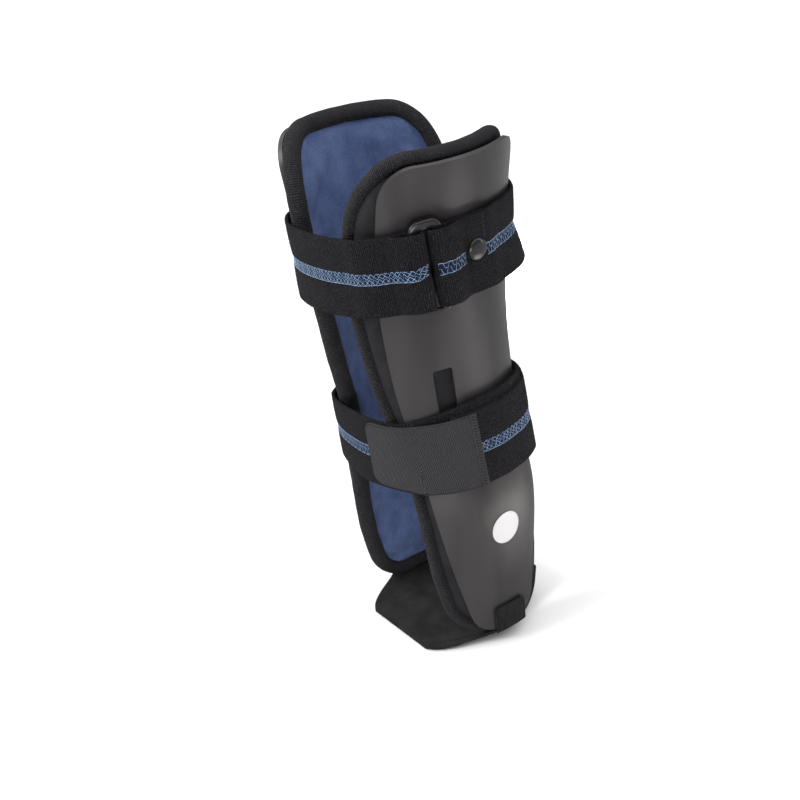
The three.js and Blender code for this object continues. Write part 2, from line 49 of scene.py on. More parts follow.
# Side shells
SHELL_HEIGHT = 246.3
SHELL_FOOT = 8.5
SHELL_WIDTH = 82.0
SHELL_WALL = 2.4
CALF_HALF_WIDTH = 57.0
TOP_SLOPE = 0.045
TOP_SLOPE_SHARES = (0.75, 1.0)
TOP_FRONT_CORNER = 16.0
TOP_BACK_CORNER = 11.0
TIP_CORNER = 11.0
SLOT_WIDTH = 9.5
SLOT_HEIGHT = 50.0
SLOT_TOP = 155.0
SLOT_ARC = -13.5
SLOT_CORNER = 1.2
SLOT_COLUMNS = (16, 8, 40)
SLOT_BLEND = (4, 28)
RIM_ROUNDING = 0.55

# Liners
LINER_RIM = 19.0
LINER_TOP = 5.0
LINER_FOOT = 3.5
LINER_LEAN = 2.5
LINER_LEAN_SHARES = (0.82, 1.02)
PAD_THICKNESS = 7.0
LINING_THICKNESS = 1.2
BINDING_WIDTH = 8.0
PINCH_WIDTH = 3.2
HELD_WIDTH = 1.2
GROOVE_DEPTH = 0.4
GROOVE_HALF = 0.13

# Heel strap
HEEL_THICKNESS = 1.7
HEEL_FRONT = 38.0
HEEL_BACK = 35.5
HEEL_FLAT = 23.0
HEEL_CUP = 14.0
HEEL_CUP_LENGTH = 20.0
TAB_WIDTH = 18.0
TAB_HEIGHT = 13.0
TAB_ARC = 1.7
TAB_CORNER = 2.5

# Leg straps
STRAP_WIDTH = 37.5
STRAP_THICKNESS = 1.8
STRAP_CREASE = 0.5
UPPER_HEIGHT = 209.2
UPPER_FALL = 8.5
UPPER_FLARE = 1.0
UPPER_BACK_FLARE = 4.0
UPPER_BACK_FLARE_LENGTH = 90.0
UPPER_OVAL = (43.0, 48.5, 1.0)
LOWER_HEIGHT = 114.0
LOWER_FALL = 7.0
LOWER_OVAL = (42.0, 40.0, 1.0)
FOLD_LENGTH = 30.0
INNER_TURN_LIFT = 4.5

# Ring, rivet, hook tab and sticker
RING_ARC = -17.7
RING_BAR = 4.4
RING_THICKNESS = 2.6
RING_CLEARANCE = 1.1
SEAM_LEAN = 3.0
RING_SEAM = 0.8
RING_OVERHANG = 5.0
RING_UNDERHANG = 2.8
RING_END_CLEARANCE = 0.5
RING_ROUNDING = 0.72
RIVET_ARC = 4.6
RIVET_RISE = 2.2
RIVET_HEAD_RADIUS = 5.2
RIVET_HEAD_HEIGHT = 2.0
HOOK_TAB_LENGTH = 56.0
HOOK_TAB_END = -5.0
HOOK_TAB_WIDTH = 37.0
HOOK_TAB_FREE_WIDTH = 34.0
HOOK_TAB_THICKNESS = 1.4
HOOK_TAB_CORNER = 6.0
HOOK_TAB_OVERLAP = 11.0
LAP_LENGTH = 42.0
STICKER_RADIUS = 8.2
STICKER_THICKNESS = 0.4
STICKER_ARC = 3.0
STICKER_HEIGHT = 65.5
STICKER_CLEARANCE = 0.15

# Cover stitch and pile
STITCH_HALF = 2.65
STITCH_PITCH = 3.0
THREAD_RADIUS = 0.085
BED_RADIUS = 0.2
STITCH_TURNS = (np.radians(122), np.radians(238))
PILE_COUNT = 15000
PILE_LENGTH = 0.45
PILE_RADIUS = 0.05
PILE_LEAN = 0.8

# Floor, light and camera
FLOOR_REACH = 6000.0
FLOOR_DROP = 0.4
CAMERA_LENS = 67.5
CAMERA_PLACE = (562.2, -343.5, 451.9)
CAMERA_RIGHT = (0.5586, 0.8171, -0.1426)
CAMERA_UP = (-0.302, 0.3605, 0.8825)
WHITE = (1.0, 1.0, 1.0)

# What follows from them
SHELL_TOP = SHELL_FOOT + SHELL_HEIGHT
PAD_DEPTH = SHELL_WALL + 2 * GAP
LINING_DEPTH = PAD_DEPTH + PAD_THICKNESS + 2 * GAP
BINDING_THICKNESS = LINING_DEPTH + LINING_THICKNESS - PAD_DEPTH
RING_SLOT = 2 * (STRAP_THICKNESS + RING_CLEARANCE) + RING_SEAM
BAR_END = RING_SLOT / 2 + RING_BAR
LIFT_SINGLE = GAP + STRAP_THICKNESS / 2
LIFT_DOUBLE = LIFT_SINGLE + STRAP_THICKNESS + GAP
LIFT_OVER_BAR = LIFT_SINGLE + STRAP_THICKNESS + 2 * RING_CLEARANCE + RING_THICKNESS
TURN_RADIUS = (LIFT_OVER_BAR - LIFT_SINGLE) / 2

# Cross sections of a side shell from its tip up, as shares of the sizes above
SECTIONS = {
    "up": [0.0, 0.14, 0.28, 0.41, 0.59, 0.79, 1.0],
    "out": [0.8, 0.842, 0.865, 0.775, 0.745, 0.81, 1.0],
    "bend": [0.96, 0.94, 0.85, 0.83, 0.92, 0.97, 0.985],
    "shift": [-0.018, -0.018, -0.002, -0.008, -0.022, -0.018, 0.0],
    "front": [0.2, 0.3, 0.386, 0.4, 0.454, 0.484, 0.472],
    "back": [0.2, 0.295, 0.37, 0.398, 0.416, 0.464, 0.523],
    "rim": [0.66, 0.66, 0.58, 0.57, 0.75, 0.94, 1.0],
}
HEEL_EDGES = {
    "along": [0.0, 0.25, 0.5, 0.75, 1.0],
    "front": [0.0, 0.28, 0.64, 0.88, 1.0],
    "back": [0.0, 0.15, 0.45, 0.77, 1.0],
    "rise": [1.0, 0.58, 0.26, 0.1, 0.0],
}


# Curves and sections


def unit(vectors):
    """Vectors of the same directions and of length one."""
    return vectors / np.linalg.norm(vectors, axis=-1, keepdims=True)


def closed(points):
    """A line that ends on its first point."""
    return np.concatenate([points, points[:1]])


def lengths(points):
    """The length along a line at each of its points."""
    return np.concatenate([[0], np.cumsum(np.linalg.norm(np.diff(points, axis=0), axis=1))])


def even_points(points, count):
    """Points at even steps along a closed line in a plane."""
    along = lengths(points)
    want = np.linspace(0, along[-1], count, endpoint=False)
    return np.stack([np.interp(want, along, points[:, k]) for k in (0, 1)], axis=1)


def spans(stops, counts):
    """Even steps between neighbouring stops, a count for each span."""
    stops = [np.asarray(stop, float)[..., None] for stop in stops]
    parts = [a + (b - a) * np.linspace(0, 1, k + 1)[:-1] for a, b, k in zip(stops, stops[1:], counts)]
    return np.concatenate([*parts, stops[-1]], axis=-1)


def cubic(a, b, start_slope, end_slope, t):
    """The cubic from a to b with given slopes at its ends."""
    level = a * (2 * t**3 - 3 * t**2 + 1) + b * (3 * t**2 - 2 * t**3)
    return level + start_slope * (t**3 - 2 * t**2 + t) + end_slope * (t**3 - t**2)


def column(table, at, name, where):
    """The smooth curve through one column: a cubic between rows, whose slope at a row is that of
    the line through its neighbours, and a straight line past the ends."""
    x, y = np.array(table[at]), np.array(table[name])
    rows = np.arange(len(x))
    before, after = np.maximum(rows - 1, 0), np.minimum(rows + 1, len(x) - 1)
    slope = (y[after] - y[before]) / (x[after] - x[before])
    where = np.asarray(where, float)
    i = np.clip(np.searchsorted(x, where, side="right") - 1, 0, len(x) - 2)
    span = x[i + 1] - x[i]
    t = np.clip((where - x[i]) / span, 0, 1)
    past = (where - (x[i] + t * span)) * np.where(t < 0.5, slope[i], slope[i + 1])
    return cubic(y[i], y[i + 1], slope[i] * span, slope[i + 1] * span, t) + past


def smoothstep(x, low=0.0, high=1.0):
    """From 0 at low to 1 at high, level at both: three times the square less twice the cube."""
    t = np.clip((np.asarray(x, float) - low) / (high - low), 0, 1)
    return t * t * (3 - 2 * t)


def ease(low, high, share):
    """From low to high by the smooth step of a share."""
    return low + (high - low) * smoothstep(share)


def up_share(height):
    """A height as a share of the shell's."""
    return (np.asarray(height) - SHELL_FOOT) / SHELL_HEIGHT


def section(height, name):
    """One measure of the shell's section at a height."""
    size = {"out": CALF_HALF_WIDTH, "bend": CALF_HALF_WIDTH, "rim": LINER_RIM}.get(name, SHELL_WIDTH)
    return column(SECTIONS, "up", name, up_share(height)) * size


def wall(arc, height, depth):
    """A point of the outer side's wall: a circle arc round the leg at each height, arc millimetres
    round from the centre line and depth inside the outer face."""
    arc, height, depth = np.broadcast_arrays(arc, height, depth)
    bend = section(height, "bend")
    turn = arc / bend
    x = section(height, "out") - bend + (bend - depth) * np.cos(turn)
    y = section(height, "shift") + (bend - depth) * np.sin(turn)
    return np.stack([x, y, height + 0.0 * x], axis=-1)


def plate(arc, height, depth):
    """The wall with its upper part sloping down towards the heel."""
    slope = TOP_SLOPE * smoothstep(up_share(height), *TOP_SLOPE_SHARES)
    return wall(arc, height - slope * arc, depth)


def liner(arc, height, depth):
    """The plate with its top leaning inwards, away from the shell."""
    return plate(arc, height, depth + LINER_LEAN * smoothstep(up_share(height), *LINER_LEAN_SHARES))


def corner_cut(distance, radius):
    """How far a quarter circle of a radius cuts in, at a distance from the end."""
    inside = np.clip(radius - distance, 0, radius)
    return radius - np.sqrt(np.maximum(radius**2 - inside**2, 0))


def outline(side, above, below):
    """The edges of a plate that stands past the shell's edge by side(rim), above and below."""
    low, high = SHELL_FOOT - below, SHELL_TOP + above
    widening = max(float(side(LINER_RIM)), 0)
    tip = TIP_CORNER + max(float(side(section(SHELL_FOOT, "rim"))), 0)

    def edge(height, name, corner):
        cuts = corner_cut(high - height, corner + widening) + corner_cut(height - low, tip)
        return section(height, name) + side(section(height, "rim")) - cuts

    return {
        "low": low,
        "high": high,
        "tip": tip,
        "corner": TOP_FRONT_CORNER + widening,
        "front": lambda height: -edge(height, "front", TOP_FRONT_CORNER),
        "back": lambda height: edge(height, "back", TOP_BACK_CORNER),
    }


def plate_rows(shape, fixed=(), spacing=2.5):
    """Heights of a plate's rows: a quarter turn's spacing at both ends, even steps between, and
    the fixed heights met exactly."""
    turn = np.radians(np.linspace(0, 80, 15))
    foot = shape["low"] + shape["tip"] * (1 - np.cos(turn))
    head = shape["high"] - shape["corner"] * (1 - np.cos(turn[::-1]))
    stops = [foot[-1], *fixed, head[0]]
    middle = [
        np.linspace(a, b, max(int(round((b - a) / spacing)), 1) + 1)[:-1]
        for a, b in zip(stops[:-1], stops[1:])
    ]
    return np.concatenate([foot[:-1], *middle, head])


# Meshes from grids


def linked(name, data):
    """A new object in the scene."""
    made = bpy.data.objects.new(name, data)
    bpy.context.scene.collection.objects.link(made)
    return made


def make_object(name, points, faces, uv=None):
    """An object at the origin from points in millimetres, an array of quads or a list of faces,
    and the UV of each face corner in millimetres."""
    mesh = bpy.data.meshes.new(name)
    if isinstance(faces, np.ndarray):
        mesh.vertices.add(len(points))
        mesh.loops.add(faces.size)
        mesh.polygons.add(len(faces))
        mesh.vertices.foreach_set("co", (np.asarray(points) * MM).ravel())
        mesh.loops.foreach_set("vertex_index", faces.ravel())
        mesh.polygons.foreach_set("loop_start", np.arange(len(faces)) * faces.shape[1])
        mesh.polygons.foreach_set("loop_total", np.full(len(faces), faces.shape[1]))
    else:
        mesh.from_pydata((np.asarray(points) * MM).tolist(), [], faces)
    mesh.update(calc_edges=True)
    if uv is not None:
        layer = mesh.uv_layers.new(name="UVMap")
        layer.data.foreach_set("uv", np.asarray(uv, float).ravel())
    mesh.polygons.foreach_set("use_smooth", np.full(len(mesh.polygons), True))
    mesh.validate()
    return linked(name, mesh)


def cells(rows, columns, close_rows=False, close_columns=False):
    """The row and the column where each quad of a grid starts."""
    i = np.arange(rows if close_rows else rows - 1)
    j = np.arange(columns if close_columns else columns - 1)
    return [index.ravel() for index in np.meshgrid(i, j, indexing="ij")]


def quads(rows, columns, offset=0, close_rows=False, close_columns=False):
    """Indices of the quads between neighbours of a grid."""
    i, j = cells(rows, columns, close_rows, close_columns)
    after_i, after_j = (i + 1) % rows, (j + 1) % columns
    corners = [i * columns + j, after_i * columns + j, after_i * columns + after_j, i * columns + after_j]
    return np.stack(corners, axis=1) + offset


def corner_uv(uv, rows, columns, close_rows=False, close_columns=False):
    """The UV of each quad's corners, from a UV grid with one more row or column where it closes."""
    i, j = cells(rows, columns, close_rows, close_columns)
    return np.stack([uv[i, j], uv[i + 1, j], uv[i + 1, j + 1], uv[i, j + 1]], axis=1)


def face_outwards(made):
    """Turns every face of a closed mesh outwards."""
    work = bmesh.new()
    work.from_mesh(made.data)
    bmesh.ops.recalc_face_normals(work, faces=work.faces)
    work.to_mesh(made.data)
    work.free()
    return made


def uv_grid(along, around):
    """A UV grid from the lengths along a path and round a profile."""
    return np.stack(np.meshgrid(along, around, indexing="ij"), axis=-1)


def one_more(measures):
    """The measures and one past the last."""
    return np.append(measures, measures[-1] + 1)


def swept(name, grid, along, around, close=False):
    """A closed profile carried along a path: grid is path by profile, along and around are the
    lengths for its UV, one more than the grid has. Open ends get a fan of triangles."""
    rows, columns = grid.shape[:2]
    uv = uv_grid(along, around)
    faces = quads(rows, columns, close_rows=close, close_columns=True)
    loops = corner_uv(uv, rows, columns, close, True)
    points = grid.reshape(-1, 3)
    if close:
        return face_outwards(make_object(name, points, faces, loops))
    j = np.arange(columns)
    after, last = (j + 1) % columns, (rows - 1) * columns
    centre = np.full(columns, rows * columns)
    fans = np.stack([j, after, centre], axis=1), np.stack([last + after, last + j, centre + 1], axis=1)
    fan_uv = [uv[0, j], uv[0, j + 1], uv[0, j]], [uv[-1, j + 1], uv[-1, j], uv[-1, j]]
    points = np.concatenate([points, grid[:1].mean(axis=1), grid[-1:].mean(axis=1)])
    corners = [loops.reshape(-1, 2), *(np.stack(fan, axis=1).reshape(-1, 2) for fan in fan_uv)]
    return face_outwards(
        make_object(name, points, faces.tolist() + np.concatenate(fans).tolist(), np.concatenate(corners))
    )


def slab(name, outer, inner, uv):
    """A closed sheet between two grids of the same size, joined along their edges."""
    faces = closed_faces(*outer.shape[:2])
    points = np.concatenate([outer.reshape(-1, 3), inner.reshape(-1, 3)])
    flat = uv.reshape(-1, 2)
    return face_outwards(make_object(name, points, faces, flat[faces % len(flat)]))


def mirrored(points, sign):
    """Points on the outer side for sign 1, on the inner one for sign -1."""
    return points * np.array([sign, 1.0, 1.0])


# The straps' base


class StrapBase:
    """The surface that a strap lies on. Its lower and upper edges are loops of support points:
    in each direction round the leg the loop stands at the largest reach of what it clears,
    averaged over a few degrees."""

    STEPS = 240
    FINER = 6
    AVERAGED = range(-5, 6)

    def __init__(self, middle, fall, oval, lean=0.0, flare=None):
        self.edges = (middle - STRAP_WIDTH / 2, middle + STRAP_WIDTH / 2)
        self.fall, self.lean, self.flare = fall, lean, flare
        self.loops = [self.loop([z, z - fall, middle - fall / 2], oval) for z in self.edges]
        self.length = self.loops[1][0][-1]

    def loop(self, heights, oval):
        """Arc lengths and points of the tightest smooth loop at these heights."""
        held = []
        for height in heights:
            front, back, rim = (float(section(height, name)) for name in ("front", "back", "rim"))
            held.append(wall(np.linspace(-front, back, 13), height, 0.0))
            for arc in (-front - rim, back + rim):
                held.append(wall(arc - np.sign(arc) * BINDING_WIDTH / 2, height, PAD_DEPTH)[None])
                held.append(wall(arc, height, PAD_DEPTH + BINDING_THICKNESS / 2)[None])
        held = np.concatenate(held)
        angle = np.arange(self.STEPS) * 2 * np.pi / self.STEPS
        c, s = np.cos(angle), np.sin(angle)
        width, depth, shift = oval
        reach = np.maximum(
            np.hypot(width * c, depth * s) + shift * s,
            (np.abs(held[:, 0, None] * c) + held[:, 1, None] * s).max(axis=0),
        ) + GAP
        reach = np.mean([np.roll(reach, k) for k in self.AVERAGED], axis=0)
        fine = self.FINER * self.STEPS
        reach = np.fft.irfft(np.fft.rfft(reach), fine) * self.FINER
        angle = np.arange(fine) * 2 * np.pi / fine
        slope = (np.roll(reach, -1) - np.roll(reach, 1)) * fine / (4 * np.pi)
        c, s = np.cos(angle), np.sin(angle)
        path = closed(np.stack([reach * c - slope * s, reach * s + slope * c], axis=1))
        return lengths(path), path

    def on_loop(self, which, s, lift):
        """Points lift millimetres off one of the loops."""
        along, path = self.loops[which]

        def at(where):
            where = np.mod(where, along[-1])
            return np.stack([np.interp(where, along, path[:, k]) for k in (0, 1)], axis=-1)

        where = s / self.length * along[-1]
        tangent = unit(at(where + 0.8) - at(where - 0.8))
        outward = np.stack([tangent[..., 1], -tangent[..., 0]], axis=-1)
        flat = at(where) + outward * np.asarray(lift)[..., None]
        z = self.edges[which] - self.fall * (1 - flat[..., 0] / CALF_HALF_WIDTH) / 2
        return np.concatenate([flat, z[..., None]], axis=-1)

    def point(self, s, lift, v):
        """The point s round from the centre line, lift off the base, v from 0 to 1 across."""
        s, lift, v = np.broadcast_arrays(np.asarray(s, float), lift, v)
        along = s + self.lean * (0.5 - v)
        off = lift + (0.0 if self.flare is None else self.flare(s) * np.maximum(1 - 2 * v, 0))
        low, high = self.on_loop(0, along, off), self.on_loop(1, along, off)
        return low + (high - low) * v[..., None]


class Strap:
    """A strap on a base. Its path holds rows (s, lift); a place on it is given by the length along
    the path, the millimetres across from the middle line and those off the middle surface. A few
    slow sine waves keep the webbing from lying perfectly flat."""

    WAVINESS = 0.09

    def __init__(self, base, path, seed, rise=None):
        self.base, self.path, self.rise = base, path, rise
        self.length = lengths(path)
        rng = np.random.default_rng(seed)
        self.waves = [
            (rng.uniform(0.1, 0.45), rng.uniform(-0.12, 0.12), rng.uniform(0, 6.3), rng.uniform(0.3, 1))
            for _ in range(8)
        ]

    def at(self, s, first=0, last=None):
        """The length along the path at s, within some of its rows."""
        rows = slice(first, last)
        return float(np.interp(s, self.path[rows, 0], self.length[rows]))

    def place(self, at, across, off):
        """Points and the outward directions there."""
        at, across, off = np.broadcast_arrays(np.asarray(at, float), across, off)

        def middle(where):
            s, lift = (np.interp(where, self.length, self.path[:, k]) for k in (0, 1))
            points = self.base.point(s, lift, 0.5 + across / STRAP_WIDTH)
            if self.rise is not None:
                points[..., 2] += self.rise(s)
            return points

        tangent = middle(at + 0.3) - middle(at - 0.3)
        outward = unit(np.stack([tangent[..., 1], -tangent[..., 0], 0 * tangent[..., 0]], axis=-1))
        wave = sum(size * np.sin(a * at + b * across + turn) for a, b, turn, size in self.waves)
        return middle(at) + outward * (off + self.WAVINESS * wave / 2)[..., None], outward

    def body(self, name):
        """The strap itself: its rounded profile carried along the path."""
        across, off = strap_profile()
        points, _ = self.place(self.length[:, None], across, off)
        around = lengths(np.stack([across, off], axis=1))
        return swept(name, points, one_more(self.length), one_more(around))


def crease(across):
    """How far the stitched middle line draws the outer face in."""
    return 0.9 * STRAP_CREASE * np.exp(-((np.asarray(across) / 3.0) ** 4))


def face_height(across):
    """The outer face's height off the strap's middle surface, crowned on both sides of the crease."""
    puff = 0.18 * np.sin(np.pi * np.abs(across) / (STRAP_WIDTH / 2)) ** 2
    return STRAP_THICKNESS / 2 - crease(across) + puff * STRAP_THICKNESS / 2


def strap_profile(count=40):
    """A strap's cross section as across and off: up its outer face, round the upper edge, down its
    inner face and round the lower edge."""
    half = STRAP_THICKNESS / 2
    corner = 0.85 * half
    y = np.linspace(-STRAP_WIDTH / 2 + corner, STRAP_WIDTH / 2 - corner, count)
    turn = np.radians(np.linspace(90, -90, 9))[1:-1]
    edge = STRAP_WIDTH / 2 - corner + corner * np.cos(turn)
    inner = y[::-1][::3]
    across = np.concatenate([y, edge, inner, -edge])
    rim = half * np.sin(turn)
    return across, np.concatenate([face_height(y), rim, np.full(len(inner), -half), -rim])


UPPER = StrapBase(
    UPPER_HEIGHT, UPPER_FALL, UPPER_OVAL, SEAM_LEAN,
    lambda s: UPPER_FLARE + UPPER_BACK_FLARE * np.sin(np.pi * np.clip(s / UPPER_BACK_FLARE_LENGTH, 0, 1)),
)
LOWER = StrapBase(LOWER_HEIGHT, LOWER_FALL, LOWER_OVAL)


def upper_path():
    """Rows (s, lift) of the upper strap: in from one fold's sewn end under the ring's bar, round
    it, all the way round the leg, round the other bar and back under. Also the numbers of the rows
    where the outer layer starts and ends."""
    reach_in = RING_SEAM / 2 + STRAP_THICKNESS / 2
    angle = np.radians(np.linspace(-90, 90, 25))
    turn_s = reach_in + TURN_RADIUS * (1 - np.cos(angle))
    turn_lift = LIFT_SINGLE + TURN_RADIUS * (1 + np.sin(angle))
    right = np.stack([RING_ARC + turn_s, turn_lift], axis=1)
    left = np.stack([UPPER.length + RING_ARC - turn_s, turn_lift], axis=1)[::-1]
    under_right = np.arange(RING_ARC + FOLD_LENGTH, right[0, 0] + 0.5, -1.2)
    around = np.linspace(right[-1, 0], left[0, 0], 340)[1:-1]
    under_left = np.arange(left[-1, 0] - 1.2, UPPER.length + RING_ARC - FOLD_LENGTH, -1.2)
    from_ring = np.minimum(around - RING_ARC, UPPER.length + RING_ARC - around)
    over = ease(LIFT_OVER_BAR, LIFT_DOUBLE, (from_ring - BAR_END) / (FOLD_LENGTH / 3))
    over -= ease(0, LIFT_DOUBLE - LIFT_SINGLE, (from_ring - FOLD_LENGTH) / (FOLD_LENGTH / 3))

    def flat(s):
        return np.stack([s, np.full(len(s), LIFT_SINGLE)], axis=1)

    rows = [flat(under_right), right, np.stack([around, over], axis=1), left, flat(under_left)]
    first = len(under_right) + len(right)
    return np.concatenate(rows), first, first + len(around)


def lower_path():
    """Rows (s, lift) of the lower strap, from its sewn outer end once round and on underneath."""
    s = np.linspace(HOOK_TAB_END - HOOK_TAB_OVERLAP, LOWER.length + LAP_LENGTH, 330)
    lift = LIFT_DOUBLE - ease(0, LIFT_DOUBLE - LIFT_SINGLE, (s - LAP_LENGTH) / FOLD_LENGTH)
    return np.stack([s, lift], axis=1)


def lower_rise(s):
    """How much higher the lower strap lies where it runs on underneath."""
    return ease(0, INNER_TURN_LIFT, (s - LOWER.length + LAP_LENGTH) / LAP_LENGTH)


# The blue cover stitch


def tubes(name, lines, radius, sides=5):
    """Threads: circles of a radius carried along lines, each an array (n, 3) with normals (n, 3)."""
    angle = np.arange(sides)[:, None] * 2 * np.pi / sides
    points, faces, uvs, offset = [], [], [], 0
    for line, normal in lines:
        tangent = unit(np.gradient(line, axis=0))
        across = unit(np.cross(normal, tangent))
        circle = np.cos(angle) * across[:, None] + np.sin(angle) * np.cross(tangent, across)[:, None]
        size = np.full(len(line), radius)
        size[0] = size[-1] = 0.3 * radius
        uv = uv_grid(lengths(line), np.linspace(0, 2 * np.pi * radius, sides + 1))
        points.append((line[:, None] + circle * size[:, None, None]).reshape(-1, 3))
        faces.append(quads(len(line), sides, offset, close_columns=True))
        uvs.append(corner_uv(uv, len(line), sides, close_columns=True))
        offset += len(line) * sides
    return face_outwards(make_object(name, *(np.concatenate(part) for part in (points, faces, uvs))))


def fuzz(name, roots, normals, seed):
    """Pile: at each root a slim three-sided spike that leans at random."""
    rng = np.random.default_rng(seed)
    count = len(roots)
    side = unit(np.cross(normals, rng.normal(size=(count, 3))))
    other = np.cross(normals, side)
    reach = PILE_LENGTH * rng.uniform(0.5, 1.4, (count, 1))
    tip = roots + normals * reach * 0.85 + side * reach * PILE_LEAN * rng.uniform(-1, 1, (count, 1))
    turn = np.arange(3)[:, None] * 2 * np.pi / 3
    ring = np.cos(turn) * side[:, None] + np.sin(turn) * other[:, None]
    foot = (roots - 0.05 * normals)[:, None] + PILE_RADIUS * ring
    points = np.concatenate([foot, tip[:, None]], axis=1).reshape(-1, 3)
    spike = np.array([[0, 1, 3], [1, 2, 3], [2, 0, 3], [2, 1, 0]])
    faces = (np.arange(count)[:, None, None] * 4 + spike).reshape(-1, 3)
    return face_outwards(make_object(name, points, faces, np.zeros((len(faces), 3, 2))))


def strap_fuzz(name, strap, first, last, seed):
    """Pile over a strap's outer face and, closer together, along its two edges."""
    rng = np.random.default_rng(seed)
    at = rng.uniform(first, last, PILE_COUNT)
    across = rng.uniform(-0.5, 0.5, PILE_COUNT) * (STRAP_WIDTH - 1.2)
    beside = np.abs(across) > STITCH_HALF + 0.25
    roots, normals = strap.place(at[beside], across[beside], face_height(across[beside]))
    at = rng.uniform(first, last, PILE_COUNT // 4)
    sign = rng.choice([-1.0, 1.0], len(at))
    angle = rng.uniform(-0.6, 1.2, len(at))
    radius = STRAP_THICKNESS / 2
    out = sign * (STRAP_WIDTH / 2 - radius + radius * np.cos(angle))
    rim, outward = strap.place(at, out, radius * np.sin(angle))
    up = np.stack([0 * at, 0 * at, sign], axis=1)
    edge = outward * np.sin(angle)[:, None] + up * np.cos(angle)[:, None]
    return fuzz(name, np.concatenate([roots, rim]), np.concatenate([normals, edge]), seed)


def zigzag(t, rising=0.35):
    """A lopsided wave between -1 and 1: it climbs over one share of a turn and falls over the rest."""
    f = t % 1
    return np.where(f < rising, 2 * f / rising - 1, 1 - 2 * (f - rising) / (1 - rising))


def stitch_steps(start, end, pitch, fine=10):
    """Turns t and lengths along the strap for whole stitches between two places."""
    turns = max(int(round((end - start) / pitch)), 1)
    t = np.linspace(0, turns, turns * fine + 1)
    return t, start + t * (end - start) / turns


def diamond_rows(start, end):
    """Two rows of small diamonds between three chains, the top one with spikes.
    Rows are lengths along, millimetres across and heights."""
    t, at = stitch_steps(start, end, STITCH_PITCH)
    low = 0.04 * np.abs(np.sin(np.pi * t))
    ripple = 0.1 * np.sin(2 * np.pi * t)
    spike = 0.5 * np.clip(zigzag(t + 0.5), 0.5, 1) - 0.25
    over = 0.1 + 0.05 * np.sin(np.pi * t)
    middle = STITCH_HALF / 2
    reach = middle + 0.05
    turn = t / 1.5
    return [
        (at, STITCH_HALF - 0.25 + spike, low),
        (at, 0.3 * ripple, low),
        (at, -STITCH_HALF + 0.5 * ripple, low),
        (at, middle + reach * zigzag(turn, 0.44), over),
        (at, middle + reach * zigzag(turn + 0.5, 0.44), over + 0.06),
        (at, -middle + reach * zigzag(turn + 0.25, 0.44), over),
        (at, -middle + reach * zigzag(turn + 0.75, 0.44), over + 0.06),
    ]


def ladder_rows(start, end):
    """Two chains with spikes, joined by short rungs over a broken middle one: the same stitch from
    its other side."""
    t, at = stitch_steps(start, end, 1.25 * STITCH_PITCH)
    low = 0.04 * np.abs(np.sin(np.pi * t))
    ripple = 0.12 * np.sin(2 * np.pi * t)
    square = np.clip(3.5 * np.sin(2 * np.pi * t), -1, 1)
    later = np.clip(3.5 * np.sin(2 * np.pi * t + 1.3), -1, 1)
    return [
        (at, STITCH_HALF + ripple, low),
        (at, -STITCH_HALF - ripple, low),
        (at, STITCH_HALF / 2 * (1.1 + square) + 0.1, low + 0.08),
        (at, STITCH_HALF / 2 * (later - 0.9), low + 0.08),
    ]


def bed_rows(start, end):
    """Dark threads side by side under a stitch."""
    t, at = stitch_steps(start, end, STITCH_PITCH, 6)
    places = np.linspace(-STITCH_HALF + 0.3, STITCH_HALF - 0.3, 9)
    return [(at, y + 0.1 * np.sin(2 * np.pi * t + 2.1 * y), -0.05 + 0.0 * t) for y in places]


def lay_threads(name, strap, rows, material, radius=THREAD_RADIUS, bend=None):
    """Threads laid on a strap's outer face. bend moves them across near a span's end."""
    lines = []
    for at, across, height in rows:
        across = across + (0 if bend is None else bend(at))
        lines.append(strap.place(at, across, face_height(across) + height + 0.6 * radius))
    dress(tubes(name, lines, radius), material, "loop_webbing")


# Materials


def rgba(color):
    """A colour with its alpha."""
    return (*color, 1.0) if isinstance(color, tuple) else color


def toned(color, share):
    """A colour made lighter or darker."""
    return tuple(share * c for c in color)


class Nodes:
    """A small helper round one node tree."""

    def __init__(self, tree):
        self.tree = tree

    def add(self, kind, inputs=None, **settings):
        node = self.tree.nodes.new(kind)
        node.location = (180 * len(self.tree.nodes), 0)
        for key, value in settings.items():
            setattr(node, key, value)
        for key, value in (inputs or {}).items():
            self.put(node.inputs[key], value)
        return node

    def put(self, socket, value):
        if isinstance(value, bpy.types.NodeSocket):
            self.tree.links.new(value, socket)
        else:
            socket.default_value = value

    def math(self, operation, a, b=0.0, c=0.0, clamp=False):
        node = self.add("ShaderNodeMath", {0: a, 1: b, 2: c}, operation=operation, use_clamp=clamp)
        return node.outputs[0]

    def times(self, a, b):
        return self.math("MULTIPLY", a, b)

    def plus(self, a, b):
        return self.math("ADD", a, b)

    def swing(self, turns):
        """From 0 to 1 and back once in a turn."""
        return self.math("MULTIPLY_ADD", self.math("SINE", self.times(turns, 2 * np.pi)), 0.5, 0.5)

    def noise(self, where, scale, detail, roughness=0.5):
        inputs = {"Vector": where, "Scale": scale, "Detail": detail, "Roughness": roughness}
        return self.add("ShaderNodeTexNoise", inputs).outputs["Fac"]

    def mix(self, share, a, b):
        inputs = {"Factor": share, "A": rgba(a), "B": rgba(b)}
        return self.add("ShaderNodeMix", inputs, data_type="RGBA").outputs["Result"]

    def ramp(self, value, low, high, to_low=0.0, to_high=1.0):
        inputs = {"Value": value, "From Min": low, "From Max": high, "To Min": to_low, "To Max": to_high}
        return self.add("ShaderNodeMapRange", inputs, interpolation_type="SMOOTHSTEP").outputs["Result"]

    def group(self, tree, inputs):
        return self.add("ShaderNodeGroup", inputs, node_tree=tree).outputs

    def uv(self):
        """The piece's own UV map, which is in millimetres."""
        return self.add("ShaderNodeUVMap", uv_map="UVMap").outputs["UV"]

    def object_place(self):
        return self.add("ShaderNodeTexCoord").outputs["Object"]


